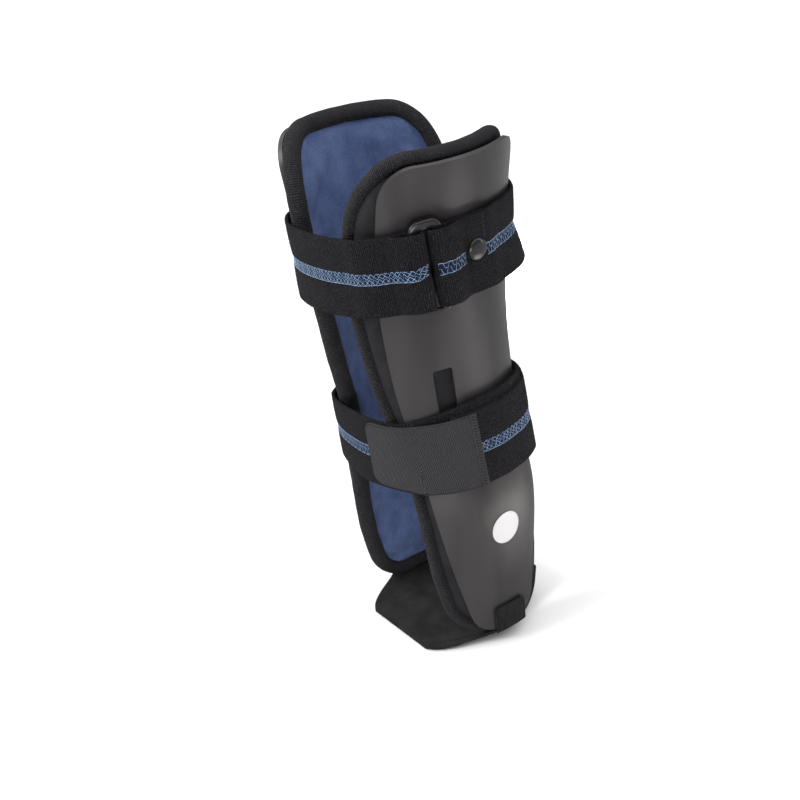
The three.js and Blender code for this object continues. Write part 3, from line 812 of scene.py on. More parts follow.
def new_group(name, inputs, outputs):
    """A shader node group. Each input has a number to start with, or None where it is a vector,
    and each output is a number."""
    tree = bpy.data.node_groups.new(name, "ShaderNodeTree")
    for label, start in inputs.items():
        kind = "NodeSocketVector" if start is None else "NodeSocketFloat"
        socket = tree.interface.new_socket(label, in_out="INPUT", socket_type=kind)
        if start is not None:
            socket.default_value = start
    for label in outputs:
        tree.interface.new_socket(label, in_out="OUTPUT", socket_type="NodeSocketFloat")
    nodes = Nodes(tree)
    return tree, nodes, nodes.add("NodeGroupInput").outputs, nodes.add("NodeGroupOutput").inputs


def knit_group():
    """Ribs across the cloth and finer courses along them, broken up by noise. Coordinates are
    millimetres, along in X and across in Y."""
    starts = {"Coordinates": None, "Rib pitch": 1.0, "Course pitch": 0.8, "Irregular": 0.2}
    tree, n, given, out = new_group("Ribbed knit", starts, ["Height", "Glint"])
    where = given["Coordinates"]
    wander = n.times(n.math("SUBTRACT", n.noise(where, 0.9, 3.0), 0.5), given["Irregular"])
    parts = n.add("ShaderNodeSeparateXYZ", {"Vector": where}).outputs
    ribs = n.plus(n.math("DIVIDE", parts["X"], given["Rib pitch"]), wander)
    courses = n.plus(n.math("DIVIDE", parts["Y"], given["Course pitch"]), n.times(wander, 2.0))
    course = n.swing(n.plus(courses, n.times(ribs, 0.5)))
    fine = n.noise(where, 3.2, 4.0)
    mixed = n.times(n.swing(ribs), n.math("MULTIPLY_ADD", course, 0.45, 0.55))
    n.put(out["Height"], n.math("MULTIPLY_ADD", fine, 0.35, mixed))
    # Glint marks where a painted glint goes: the ribs' tops, broken up by the finer noise.
    n.put(out["Glint"], n.times(mixed, n.ramp(fine, 0.52, 0.72)))
    return tree


def pile_group():
    """Short fuzz: fine tufts over slow lighter and darker drifts. Coordinates are millimetres."""
    tree, n, given, out = new_group("Pile", {"Coordinates": None, "Tuft size": 0.6}, ["Height", "Drift"])
    where = given["Coordinates"]
    scale = n.math("DIVIDE", 1.0, given["Tuft size"])
    tufts = n.noise(where, scale, 5.0, 0.7)
    cell = n.add("ShaderNodeTexVoronoi", {"Vector": where, "Scale": n.times(scale, 1.3)}, feature="F1")
    height = n.math("MULTIPLY_ADD", tufts, 0.7, n.times(cell.outputs["Distance"], 0.4))
    n.put(out["Height"], height)
    n.put(out["Drift"], n.noise(where, 0.09, 2.0))
    return tree


def moulded_group():
    """Moulded plastic: a faint orange peel and slow changes of gloss. Coordinates are metres."""
    tree, n, given, out = new_group("Moulded plastic", {"Coordinates": None}, ["Height", "Gloss"])
    n.put(out["Height"], n.noise(given["Coordinates"], 900.0, 2.0))
    n.put(out["Gloss"], n.noise(given["Coordinates"], 22.0, 3.0))
    return tree


KNIT, PILE, MOULDED = knit_group(), pile_group(), moulded_group()


def new_material(name, roughness, sheen=0.0, sheen_tint=WHITE, specular=0.5):
    """A material with these constants, a helper for its nodes and its shader."""
    material = bpy.data.materials.new(name)
    material.use_nodes = True
    shader = material.node_tree.nodes["Principled BSDF"]
    shader.inputs["Roughness"].default_value = roughness
    shader.inputs["Specular IOR Level"].default_value = specular
    shader.inputs["Sheen Weight"].default_value = sheen
    shader.inputs["Sheen Tint"].default_value = rgba(sheen_tint)
    return material, Nodes(material.node_tree), shader


def finished(material, n, shader, color, height, depth):
    """Colours a material and raises it by a height map, depth in millimetres."""
    n.put(shader.inputs["Base Color"], color)
    bump = n.add("ShaderNodeBump", {"Height": height, "Distance": depth * MM})
    n.put(shader.inputs["Normal"], bump.outputs["Normal"])
    return material


def plastic(name, color, roughness, depth, spread=0.08, painted_streaks=0.0, specular=0.5):
    """Moulded plastic. Long soft streaks up the piece lighten its colour by the given share: painted
    reflection streaks.
    """
    material, n, shader = new_material(name, roughness, specular=specular)
    moulded = n.group(MOULDED, {"Coordinates": n.object_place()})
    tone = n.mix(moulded["Gloss"], toned(color, 0.88), toned(color, 1.12))
    # Painted reflection: long soft vertical streaks of a lighter colour stand in for reflected light.
    if painted_streaks:
        stretched = n.add("ShaderNodeVectorMath", {0: n.uv(), 1: (1.0, 0.14, 1.0)}, operation="MULTIPLY")
        share = n.ramp(n.noise(stretched.outputs[0], 0.055, 1.0), 0.35, 0.65)
        tone = n.mix(n.times(share, painted_streaks), tone, toned(color, 1.9))
    gloss = n.ramp(moulded["Gloss"], 0.3, 0.7, roughness - spread / 2, roughness + spread / 2)
    n.put(shader.inputs["Roughness"], gloss)
    return finished(material, n, shader, tone, moulded["Height"], depth)


def knit(name, color, lit, rib, course, depth, irregular, sheen, specular):
    """Ribbed cloth whose ribs' tops get a painted glint: a lighter colour is mixed in there."""
    material, n, shader = new_material(name, 0.9, sheen, (0.8, 0.82, 0.9), specular)
    where = n.uv()
    measures = {"Coordinates": where, "Rib pitch": rib, "Course pitch": course, "Irregular": irregular}
    ribs = n.group(KNIT, measures)
    pile = n.group(PILE, {"Coordinates": where, "Tuft size": 0.45})
    base = n.mix(n.ramp(pile["Drift"], 0.35, 0.65), color, toned(color, 1.35))
    # Painted glint: the lighter colour lit is mixed in by the glint mask.
    tone = n.mix(n.math("MULTIPLY", ribs["Glint"], 0.8, clamp=True), base, lit)
    return finished(
        material, n, shader, tone, n.math("MULTIPLY_ADD", pile["Height"], 0.5, ribs["Height"]), depth
    )


def fleece(name, dark, light, tuft, depth, sheen, tint=(0.6, 0.7, 1.0)):
    """Short pile."""
    material, n, shader = new_material(name, 1.0, sheen, tint, 0.15)
    pile = n.group(PILE, {"Coordinates": n.uv(), "Tuft size": tuft})
    share = n.math("MULTIPLY_ADD", pile["Drift"], 0.5, n.times(pile["Height"], 0.5))
    return finished(material, n, shader, n.mix(n.ramp(share, 0.3, 0.75), dark, light), pile["Height"], depth)


def hook_cloth(name, color, lit, lean=0.38):
    """Hook tape: a fine twill that leans by an angle across the tape."""
    material, n, shader = new_material(name, 0.8, 0.03, WHITE, 0.15)
    turned = n.add("ShaderNodeVectorRotate", {"Vector": n.uv(), "Angle": lean}).outputs["Vector"]
    measures = {"Coordinates": turned, "Rib pitch": 0.7, "Course pitch": 0.8, "Irregular": 0.85}
    height = n.group(KNIT, measures)["Height"]
    # Painted highlight: the lighter colour lit is mixed in where the twill stands highest.
    return finished(material, n, shader, n.mix(n.ramp(height, 0.25, 1.05), color, lit), height, 0.2)


def thread(name, color, light):
    """Twisted yarn."""
    material, n, shader = new_material(name, 0.6, 0.05, (0.8, 0.9, 1.0), 0.25)
    parts = n.add("ShaderNodeSeparateXYZ", {"Vector": n.uv()}).outputs
    twist = n.math("SINE", n.times(n.plus(parts["X"], parts["Y"]), 14.0))
    tone = n.mix(n.math("MULTIPLY_ADD", twist, 0.5, 0.5), color, light)
    return finished(material, n, shader, tone, twist, 0.05)


def paper(name, dark, light):
    """Plain paper with a faint tone."""
    material, n, shader = new_material(name, 0.5, specular=0.4)
    moulded = n.group(MOULDED, {"Coordinates": n.object_place()})
    return finished(material, n, shader, n.mix(moulded["Gloss"], dark, light), moulded["Height"], 0.01)


# The side plate's plastic carries painted reflection streaks.
SHELL_PLASTIC = plastic(
    "Side plate plastic", (0.027, 0.0252, 0.0256), 0.34, 0.004, painted_streaks=0.6, specular=0.42)
# A lighter colour on the side plate's rounded rims: a painted edge highlight.
PAINTED_RIM_HIGHLIGHT = plastic("Side plate painted rim highlight", (0.075, 0.072, 0.07), 0.22, 0.002, 0.04)
HARDWARE_PLASTIC = plastic("Hardware plastic", (0.014, 0.0136, 0.014), 0.22, 0.003, 0.06)
# The knits below paint a glint on their ribs' tops with their second, lighter colour.
WEBBING = knit(
    "Loop webbing", (0.0055, 0.0052, 0.0068), (0.24, 0.24, 0.27),
    rib=0.9, course=0.7, depth=0.45, irregular=0.5, sheen=0.02, specular=0.1)
LINER_KNIT = knit(
    "Binding knit", (0.013, 0.0125, 0.014), (0.3, 0.3, 0.32),
    rib=0.95, course=1.4, depth=0.6, irregular=0.3, sheen=0.04, specular=0.15)
COVER_KNIT = knit(
    "Pad cover knit", (0.017, 0.0166, 0.019), (0.05, 0.05, 0.056),
    rib=0.7, course=0.9, depth=0.08, irregular=0.4, sheen=0.04, specular=0.15)
PILE_FIBRE = fleece("Pile fibre", (0.008, 0.0078, 0.009), (0.05, 0.05, 0.055), 0.5, 0.1, 0.05, WHITE)
BLUE_FLEECE = fleece("Blue fleece", (0.062, 0.098, 0.21), (0.13, 0.18, 0.36), 0.8, 0.4, 0.12)
FELT = fleece(
    "Heel strap felt", (0.006, 0.006, 0.0065), (0.026, 0.025, 0.026), 0.5, 0.3, 0.04, (0.8, 0.8, 0.8))
HOOK_CLOTH = hook_cloth("Hook tape", (0.015, 0.0149, 0.0164), (0.068, 0.067, 0.074))
BLUE_THREAD = thread("Blue thread", (0.3, 0.56, 1.0), (0.66, 0.86, 1.0))
NAVY_THREAD = thread("Navy thread", (0.002, 0.007, 0.032), (0.006, 0.02, 0.08))
BLACK_THREAD = thread("Black thread", (0.008, 0.008, 0.009), (0.04, 0.04, 0.044))
GREY_THREAD = thread("Grey thread", (0.03, 0.03, 0.031), (0.09, 0.09, 0.092))
PAPER = paper("Sticker paper", (0.68, 0.68, 0.7), (0.76, 0.76, 0.77))


def dress(piece, material, slot, *nodes):
    """Gives a piece its material, hangs it on the root body and hides the solids that it stands for. slot is
    not used.
    """
    piece.data.materials.clear()
    piece.data.materials.append(material)
    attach(piece, "root")
    if nodes:
        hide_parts(*nodes)
    return piece


# Shells


def shell(name, sign):
    """The moulded wall: columns run from the front edge to the back one and meet the slot's sides,
    rows run up and meet its ends. The slot's cells are left out, and a thickness is added."""
    shape = outline(lambda rim: 0.0 * rim, 0, 0)
    low, high = SLOT_TOP - SLOT_HEIGHT, SLOT_TOP
    rows = plate_rows(shape, [end + step for end in (low, high) for step in (-SLOT_CORNER, 0, SLOT_CORNER)])
    front, back = shape["front"](rows), shape["back"](rows)
    left, right = SLOT_ARC - SLOT_WIDTH / 2, SLOT_ARC + SLOT_WIDTH / 2
    level = (low + high) / 2
    shares = spans([-section(level, "front"), left, right, section(level, "back")], SLOT_COLUMNS)
    shares = (shares - shares[0]) / (shares[-1] - shares[0])
    even = front[:, None] + (back - front)[:, None] * shares
    met = spans([front, np.full_like(front, left), np.full_like(front, right), back], SLOT_COLUMNS)
    near, far = SLOT_BLEND
    weight = smoothstep(rows, low - far, low - near) * (1 - smoothstep(rows, high + near, high + far))
    arcs = even + (met - even) * weight[:, None]
    heights = np.repeat(rows[:, None], arcs.shape[1], axis=1)
    first, last = SLOT_COLUMNS[0], SLOT_COLUMNS[0] + SLOT_COLUMNS[1]
    bottom, top = np.argmin(np.abs(rows - low)), np.argmin(np.abs(rows - high))
    cut = SLOT_CORNER * (1 - np.sqrt(0.5))
    for row, up in ((bottom, 1), (top, -1)):
        for place, along in ((first, 1), (last, -1)):
            heights[row, place] += up * cut
            arcs[row, place] += along * cut
    points = mirrored(plate(arcs, heights, 0.0), sign).reshape(-1, 3)
    faces = quads(*arcs.shape)
    i, j = np.divmod(faces[:, 0], arcs.shape[1])
    faces = faces[(i < bottom) | (i >= top) | (j < first) | (j >= last)]
    if sign > 0:
        faces = faces[:, ::-1]
    uv = np.stack([arcs, heights], axis=-1).reshape(-1, 2)
    used, joined = np.unique(faces, return_inverse=True)
    made = make_object(name, points[used], joined.reshape(faces.shape), uv[faces])
    thickness = made.modifiers.new("Wall", "SOLIDIFY")
    thickness.thickness = SHELL_WALL * MM
    thickness.offset = -1.0
    rim = made.modifiers.new("Rim", "BEVEL")
    rim.width = RIM_ROUNDING * MM
    rim.segments = 3
    rim.limit_method = "ANGLE"
    rim.angle_limit = np.radians(50)
    rim.harden_normals = True
    # The rounded rim takes the second, lighter material: a painted edge highlight.
    rim.material = 1
    return made


# Liners


def liner_grid(shape, columns):
    """Arcs and heights of a liner's grid, and how far each point is from its edge."""
    rows = plate_rows(shape)
    front, back = shape["front"](rows), shape["back"](rows)
    arcs = front[:, None] + (back - front)[:, None] * np.linspace(0, 1, columns)
    heights = np.repeat(rows[:, None], columns, axis=1)
    sides = arcs - front[:, None], back[:, None] - arcs, heights - shape["low"], shape["high"] - heights
    return arcs, heights, np.maximum(np.min(sides, axis=0), 0)


def drifts(arcs, heights, seed, size, length):
    """Slow unevenness of a stuffed surface: a sum of sine waves of about a length."""
    rng = np.random.default_rng(seed)
    total = np.zeros_like(arcs)
    for _ in range(10):
        direction, phase = rng.uniform(0, 2 * np.pi, 2)
        wave = length * rng.uniform(0.6, 1.8)
        total += np.sin(2 * np.pi * (arcs * np.cos(direction) + heights * np.sin(direction)) / wave + phase)
    return size * total / 4


def inflated(points, faces, held, pressure, grow, cap, frames=20):
    """Fills a closed body like a cushion: a cloth whose held points stay, under pressure and a
    little too large for its place, run for some frames. No point moves further than cap."""
    made = make_object("cushion", points, faces)
    group = made.vertex_groups.new(name="held")
    group.add(np.flatnonzero(held).tolist(), 1.0, "REPLACE")
    cloth = made.modifiers.new("Cloth", "CLOTH")
    fabric = cloth.settings
    fabric.quality = 6
    fabric.mass = 0.2
    fabric.tension_stiffness = fabric.compression_stiffness = 12
    fabric.shear_stiffness = 5
    fabric.bending_stiffness = 0.4
    fabric.vertex_group_mass = "held"
    fabric.use_pressure = True
    fabric.uniform_pressure_force = pressure
    fabric.shrink_min = -grow
    fabric.effector_weights.gravity = 0
    cloth.collision_settings.use_collision = False
    cloth.point_cache.frame_start, cloth.point_cache.frame_end = 1, frames
    scene = bpy.context.scene
    for step in range(1, frames + 1):
        scene.frame_set(step)
    graph = bpy.context.evaluated_depsgraph_get()
    moved = np.empty(3 * len(points))
    made.evaluated_get(graph).data.vertices.foreach_get("co", moved)
    scene.frame_set(1)
    mesh = made.data
    bpy.data.objects.remove(made)
    bpy.data.meshes.remove(mesh)
    step = moved.reshape(-1, 3) / MM - points
    reach = np.linalg.norm(step, axis=1, keepdims=True)
    return points + step * np.minimum(1, cap / np.maximum(reach, 1e-6))


def closed_faces(rows, columns):
    """The faces of two grids of the same size joined along their edges: first the one, then the
    other, then the joint."""
    count = rows * columns
    index = np.arange(count).reshape(rows, columns)
    ring = np.concatenate([index[0, :-1], index[:-1, -1], index[-1, :0:-1], index[:0:-1, 0]])
    after = np.roll(ring, -1)
    return np.concatenate([
        quads(rows, columns),
        quads(rows, columns, offset=count)[:, ::-1],
        np.stack([ring, after, after + count, ring + count], axis=1),
    ])


def filled_pad():
    """The outer side's foam pad as two grids, the face on the shell and the one on the leg. They
    start PAD_THICKNESS apart, pinched where the binding holds them, and are then inflated."""
    inset = BINDING_WIDTH - 0.8
    shape = outline(lambda rim: rim - inset, LINER_TOP - inset, LINER_FOOT - inset)
    arcs, heights, edge = liner_grid(shape, 52)
    pinch = np.exp(-((edge / PINCH_WIDTH) ** 2))
    outer = PAD_DEPTH + 1.5 * pinch
    uneven = drifts(arcs, heights, seed=4, size=0.14, length=24) * (1 - pinch)
    inner = PAD_DEPTH + PAD_THICKNESS - 0.5 - 1.6 * pinch + uneven
    grids = np.stack([liner(arcs, heights, outer), liner(arcs, heights, inner)])
    held = np.stack([np.ones(arcs.shape, bool), edge < HELD_WIDTH]).ravel()
    faces = closed_faces(*arcs.shape)
    filled = inflated(grids.reshape(-1, 3), faces, held, pressure=4.0, grow=0.02, cap=1.3)
    grids = filled.reshape(grids.shape)
    return grids, np.stack([heights, arcs], axis=-1)


def grid_normals(grid):
    """Unit normals of a grid surface."""
    return unit(np.cross(np.gradient(grid, axis=0), np.gradient(grid, axis=1)))


def pad(name, sign):
    """One foam pad, closed between the two filled grids."""
    grids, uv = PAD_GRIDS
    return slab(name, mirrored(grids[0], sign), mirrored(grids[1], sign), uv)


def lining(name, sign):
    """The fleece on the side of the leg: it follows the filled pad a gap above it, with slow waves
    of its own. Also its size laid flat and its area, in metres."""
    grids, uv = PAD_GRIDS
    inwards = grid_normals(grids[1])
    inwards *= -np.sign(inwards[..., :1])
    waves = drifts(uv[..., 1], uv[..., 0], seed=12, size=0.07, length=9)
    under = grids[1] + inwards * GAP
    top = under + inwards * (LINING_THICKNESS + waves)[..., None]
    made = slab(name, mirrored(under, sign), mirrored(top, sign), uv)
    cell = np.linalg.norm(np.cross(np.diff(top, axis=0)[:, :-1], np.diff(top, axis=1)[:-1]), axis=-1)
    return made, np.ptp(uv, axis=(0, 1)) * MM, float(cell.sum()) * MM**2


def closed_curve(points, count):
    """Even points on a smooth closed curve through points in a plane, and its length. Slopes are
    those of the line through a point's neighbours."""
    chord = np.linalg.norm(np.roll(points, -1, axis=0) - points, axis=1)
    at = np.concatenate([[0], np.cumsum(chord)])
    ring = closed(points)
    slope = np.roll(points, -1, axis=0) - np.roll(points, 1, axis=0)
    slope = closed(slope / (chord + np.roll(chord, 1))[:, None])
    t = np.linspace(0, at[-1], 4000, endpoint=False)
    i = np.clip(np.searchsorted(at, t, side="right") - 1, 0, len(chord) - 1)
    h = chord[i][:, None]
    dense = closed(cubic(ring[i], ring[i + 1], slope[i] * h, slope[i + 1] * h, (t - at[i])[:, None] / h))
    return even_points(dense, count), lengths(dense)[-1]


class LinerEdge:
    """The rolled edge of the outer side's liner. Its middle runs round the liner in the plane of
    arc and height; a place on it is a length along, an angle round the section, counted from the
    outside towards the shell, and a height off the surface."""

    STEPS = 900

    def __init__(self):
        self.half = BINDING_WIDTH / 2
        shape = outline(lambda rim: rim - self.half, LINER_TOP - self.half, LINER_FOOT - self.half)
        low, high = shape["low"], shape["high"]
        rows = plate_rows(shape, spacing=14)
        front, back = shape["front"], shape["back"]
        across = np.linspace(0, 1, 7)[1:-1]
        head = back(high) + (front(high) - back(high)) * across
        foot = front(low) + (back(low) - front(low)) * across
        ring = np.concatenate([
            np.stack([back(rows), rows], axis=1),
            np.stack([head, np.full(len(head), high)], axis=1),
            np.stack([front(rows), rows], axis=1)[::-1],
            np.stack([foot, np.full(len(foot), low)], axis=1),
        ])
        self.path, self.length = closed_curve(ring, self.STEPS)
        self.tangent = unit(np.roll(self.path, -1, axis=0) - np.roll(self.path, 1, axis=0))
        rng = np.random.default_rng(21)
        self.waves = [(k, rng.uniform(0, 6.3), rng.uniform(0.2, 1)) for k in (9, 14, 23, 31, 47)]

    def place(self, along, turn, off=0.0):
        """Points there: an oval round the middle line, swollen by slow waves and grooved at the stitches."""
        along, turn, off = np.broadcast_arrays(np.asarray(along, float), turn, off)
        where = (along / self.length % 1) * self.STEPS
        index = np.arange(self.STEPS + 1)

        def at(values):
            return [np.interp(where, index, closed(values)[:, k]) for k in (0, 1)]

        (arc, height), (run_arc, run_height) = at(self.path), at(self.tangent)
        angle = 2 * np.pi * along / self.length
        swell = 1 + 0.013 * sum(size * np.sin(k * angle + phase) for k, phase, size in self.waves)
        for middle in STITCH_TURNS:
            off = off - GROOVE_DEPTH * np.exp(-(((turn - middle) / GROOVE_HALF) ** 2))
        outwards = (self.half * swell + off) * np.cos(turn)
        inwards = (BINDING_THICKNESS / 2 * swell + off) * np.sin(turn)
        depth = PAD_DEPTH + BINDING_THICKNESS / 2 - inwards
        return liner(arc + run_height * outwards, height - run_arc * outwards, depth)


def binding(name, sign, steps=420, sides=44):
    """The rolled edge: an oval profile carried round the liner's edge, a little uneven, with the
    groove of its stitching on both faces."""
    turn = np.linspace(0, 2 * np.pi, sides, endpoint=False)
    along = np.linspace(0, EDGE.length, steps + 1)
    grid = mirrored(EDGE.place(along[:-1, None], turn), sign)
    around = np.linspace(0, np.pi * (EDGE.half + BINDING_THICKNESS / 2), sides + 1)
    return swept(name, grid, along, around, close=True)


def binding_stitch(name, sign, pitch=2.4):
    """The zigzag thread in the rolled edge's grooves, one line on each face."""
    turns = round(EDGE.length / pitch)
    t = np.linspace(0, turns, 8 * turns)
    lines = []
    for middle in STITCH_TURNS:
        turn = middle + 0.15 * zigzag(t, 0.5)
        line = mirrored(EDGE.place(t * pitch, turn, 0.22), sign)
        lines.append((line, unit(mirrored(EDGE.place(t * pitch, turn, 1.2), sign) - line)))
    return tubes(name, lines, 0.17, 4)


PAD_GRIDS = filled_pad()
EDGE = LinerEdge()
for side, sign in (("lateral", 1), ("medial", -1)):
    plate_piece = dress(shell(f"{side}_side_plate", sign), SHELL_PLASTIC, "shell_plastic", f"{side}_shell")
    # The plate's second material, for its rounded rims, is a painted edge highlight.
    plate_piece.data.materials.append(PAINTED_RIM_HIGHLIGHT)
    padding = dress(pad(f"{side}_foam_pad", sign), COVER_KNIT, "pad_cover", f"{side}_pad")
    fleece_sheet, flat_size, flat_area = lining(f"{side}_fleece", sign)
    dress(fleece_sheet, BLUE_FLEECE, "blue_fleece", f"{side}_lining")
    dress(binding(f"{side}_rolled_edge", sign), LINER_KNIT, "binding_knit", f"{side}_binding")
    dress(binding_stitch(f"{side}_edge_stitch", sign), BLACK_THREAD, "binding_knit")


# Straps


def upper_webbing():
    """The upper strap, its blue stitching from fold to fold and the dark thread that holds one fold's end.
    The stitching stops round the rivet and changes sides behind the leg."""
    path, first, last = upper_path()
    band = Strap(UPPER, path, 5)
    dress(band.body("upper_webbing"), WEBBING, "loop_webbing", "upper_strap")
    turn = np.pi * TURN_RADIUS
    start, end = band.length[first] - 0.3 * turn, band.length[last] + 0.24 * turn
    rivet_at = band.at(RIVET_ARC, first, last)
    before, after = rivet_at - RIVET_HEAD_RADIUS - 0.7, rivet_at + RIVET_HEAD_RADIUS + 0.7
    change = (start + end) / 2
    rows = ladder_rows(start, before) + ladder_rows(after, change) + diamond_rows(change + 1, end)
    beds = bed_rows(start, before) + bed_rows(after, end)

    def bend(at):
        return 1.5 * smoothstep(at, end - 5, end)

    lay_threads("upper_cover_stitch", band, rows, BLUE_THREAD, bend=bend)
    lay_threads("upper_stitch_bed", band, beds, NAVY_THREAD, BED_RADIUS, bend)
    pile = strap_fuzz("upper_pile", band, band.length[first], band.length[last], 31)
    dress(pile, PILE_FIBRE, "loop_webbing")
    across = np.linspace(STITCH_HALF + 2.5, STRAP_WIDTH / 2 - 1.6, 90)
    dash = 0.16 * np.clip(2.2 * np.sin(2 * np.pi * across / 2.2), -1, 1)
    tack = np.full(len(across), band.at(RING_ARC + FOLD_LENGTH - 3, first, last))
    lay_threads("upper_tack_stitch", band, [(tack, across, dash - 0.16)], BLACK_THREAD, 0.19)


def lower_webbing():
    """The lower strap and its blue stitching, which changes sides behind the leg."""
    band = Strap(LOWER, lower_path(), 6, lower_rise)
    dress(band.body("lower_webbing"), WEBBING, "loop_webbing", "lower_strap")
    stops = (HOOK_TAB_END + 0.8, LOWER.length / 2, LOWER.length + LAP_LENGTH - 2)
    start, middle, end = (band.at(s) for s in stops)
    rows = diamond_rows(start, middle) + ladder_rows(middle + 1, end)
    lay_threads("lower_cover_stitch", band, rows, BLUE_THREAD)
    dress(strap_fuzz("lower_pile", band, 0.0, band.length[-1], 32), PILE_FIBRE, "loop_webbing")
    lay_threads("lower_stitch_bed", band, bed_rows(start, end), NAVY_THREAD, BED_RADIUS)


upper_webbing()
lower_webbing()


def band_profile(faces, corners, half):
    """The section of a flat band with round edges: places across from 0 to 1, sides from 1 on its
    face to -1 under it, and the millimetres that each place draws in to round the edge."""
    face = np.linspace(0, 1, faces)
    edge = np.sin(np.radians(np.linspace(90, -90, corners + 2))[1:-1])
    share = np.concatenate([face, np.ones(corners), face[::-1], np.zeros(corners)])
    side = np.concatenate([np.ones(faces), edge, -np.ones(faces), -edge])
    draw = half * (1 - np.sqrt(np.maximum(1 - side**2, 0))) * (np.abs(share - 0.5) > 0.499)
    return share, side, np.where(share > 0.5, -draw, draw)


def heel_strap(name):
    """The sole part and its two folded ends, as rows across the strap: down the tab, round the
    shell's tip and under the foot. Its thickness closes in a half round at its edges."""
    half = HEEL_THICKNESS / 2
    fold_radius = SHELL_WALL / 2 + GAP + half
    fold_height = SHELL_FOOT + GAP
    faces = 34
    share, side, draw = band_profile(faces, 5, half)
    off = side * half
    round_share = TAB_CORNER / TAB_HEIGHT
    tab = np.concatenate([np.linspace(1, 1 - round_share, 12)[:-1], np.linspace(1 - round_share, 0.02, 8)])
    grids = []

    def row_of(width):
        return np.clip(share + draw / width, 0, 1)

    for value in tab:
        to_end = (1 - value) * TAB_HEIGHT
        reach = TAB_WIDTH / 2 - float(corner_cut(to_end, TAB_CORNER))
        closing = np.sqrt(np.clip(to_end / 0.7, 0.02, 1))
        arc = TAB_ARC + reach * (2 * row_of(2 * reach) - 1)
        height = fold_height + value * TAB_HEIGHT
        grids.append(wall(arc, height, SHELL_WALL / 2 - fold_radius - off * closing))
    edge_arc = TAB_ARC + TAB_WIDTH * (row_of(TAB_WIDTH) - 0.5)
    reach = fold_radius + off
    for turn in np.radians(np.linspace(0, 90, 10)):
        height, depth = fold_height - np.sin(turn) * reach, SHELL_WALL / 2 - np.cos(turn) * reach
        grids.append(wall(edge_arc, height, depth))
    tip_x, tip_y, _ = wall(edge_arc, fold_height, SHELL_WALL / 2).T
    ways = [(along, tip_x + (HEEL_FLAT - tip_x) * along) for along in np.linspace(0, 1, 42)[1:]]
    ways += [(1.0, np.full_like(tip_x, x)) for x in np.linspace(HEEL_FLAT, 0, 12)[1:]]
    for along, x in ways:
        front, back, rise = (
            float(column(HEEL_EDGES, "along", key, along)) for key in ("front", "back", "rise")
        )
        row = row_of(TAB_WIDTH + along * (HEEL_FRONT + HEEL_BACK - TAB_WIDTH))
        spread = front + (back - front) * smoothstep(row, 0.45, 0.55)
        y = tip_y + ((HEEL_FRONT + HEEL_BACK) * row - HEEL_FRONT - tip_y) * spread
        cup = np.maximum(1 + (y - HEEL_BACK) / HEEL_CUP_LENGTH, 0)
        tilt = np.arctan(2 * cup * HEEL_CUP / HEEL_CUP_LENGTH)
        z = half + (fold_height - fold_radius - half) * rise + HEEL_CUP * cup**2 - off * np.cos(tilt)
        grids.append(np.stack([x, y + off * np.sin(tilt), z], axis=-1))
    one = np.stack(grids)
    grid = np.concatenate([one, mirrored(one[:-1], -1)[::-1]])
    along, around = lengths(grid[:, faces // 2]), lengths(grid[len(grid) // 2])
    return swept(name, grid, one_more(along), one_more(around))


dress(heel_strap("heel_webbing"), FELT, "loop_webbing", "heel_strap")


def hook_tab(name):
    """The hook tab on the lower strap's base: rounded free corners on the left, and a sewn end
    with a serrated edge on the right."""
    half = HOOK_TAB_THICKNESS / 2
    over = LIFT_DOUBLE + STRAP_THICKNESS / 2 + half + GAP
    rising = 2 * HOOK_TAB_OVERLAP
    rise_start = HOOK_TAB_END - HOOK_TAB_OVERLAP - rising
    corner = HOOK_TAB_CORNER * (1 - np.cos(np.radians(np.linspace(0, 80, 16))))
    along = np.concatenate([corner, np.linspace(HOOK_TAB_CORNER, HOOK_TAB_LENGTH, 96)])
    faces = 61
    share, side, draw = band_profile(faces, 4, half)
    grids = []
    for x in along:
        wide = (HOOK_TAB_FREE_WIDTH + (HOOK_TAB_WIDTH - HOOK_TAB_FREE_WIDTH) * x / HOOK_TAB_LENGTH) / 2
        across = (2 * share - 1) * (wide - float(corner_cut(x, HOOK_TAB_CORNER))) + draw
        v = 0.5 + (across - (wide - HOOK_TAB_WIDTH / 2) * 0.5) / STRAP_WIDTH
        closing = np.sqrt(np.clip(min(x, HOOK_TAB_LENGTH - x) / 0.5, 0.03, 1))
        sewn = smoothstep(x, HOOK_TAB_LENGTH - 2, HOOK_TAB_LENGTH)
        teeth = 0.45 * (np.abs((across / 1.5) % 1 - 0.5) - 0.25) * sewn
        s = HOOK_TAB_END - HOOK_TAB_LENGTH + x
        lift = ease(over - STRAP_THICKNESS - GAP, over, (s - rise_start) / (rising - 1))
        grids.append(LOWER.point(s + teeth, lift + side * half * closing, v))
    grid = np.stack(grids)
    return swept(name, grid, one_more(along), one_more(lengths(grid[faces - 1])))


def overlock(name, pitch=1.5):
    """Threads over the hook tab's sewn edge: a zigzag from the tab on to the strap."""
    count = int(HOOK_TAB_WIDTH / pitch)
    t = np.linspace(0, 1, count * 12)
    v = 0.5 + (t - 0.5) * (HOOK_TAB_WIDTH - 1.0) / STRAP_WIDTH
    low = LIFT_DOUBLE + STRAP_THICKNESS / 2 + 0.2
    top = LIFT_DOUBLE + STRAP_THICKNESS / 2 + GAP + HOOK_TAB_THICKNESS + 0.16
    s = HOOK_TAB_END - 0.7 + 1.5 * zigzag(t * count, 0.5)
    lift = ease(low, top, (HOOK_TAB_END + 0.35 - s) / 0.6)
    inner = HOOK_TAB_END - 2.6 + 0.12 * np.sin(2 * np.pi * t * count)
    lines = []
    for where, height in ((s, lift), (inner, np.full_like(inner, top))):
        line = LOWER.point(where, height, v)
        lines.append((line, LOWER.point(where, height + 1, v) - line))
    return tubes(name, lines, 0.18)


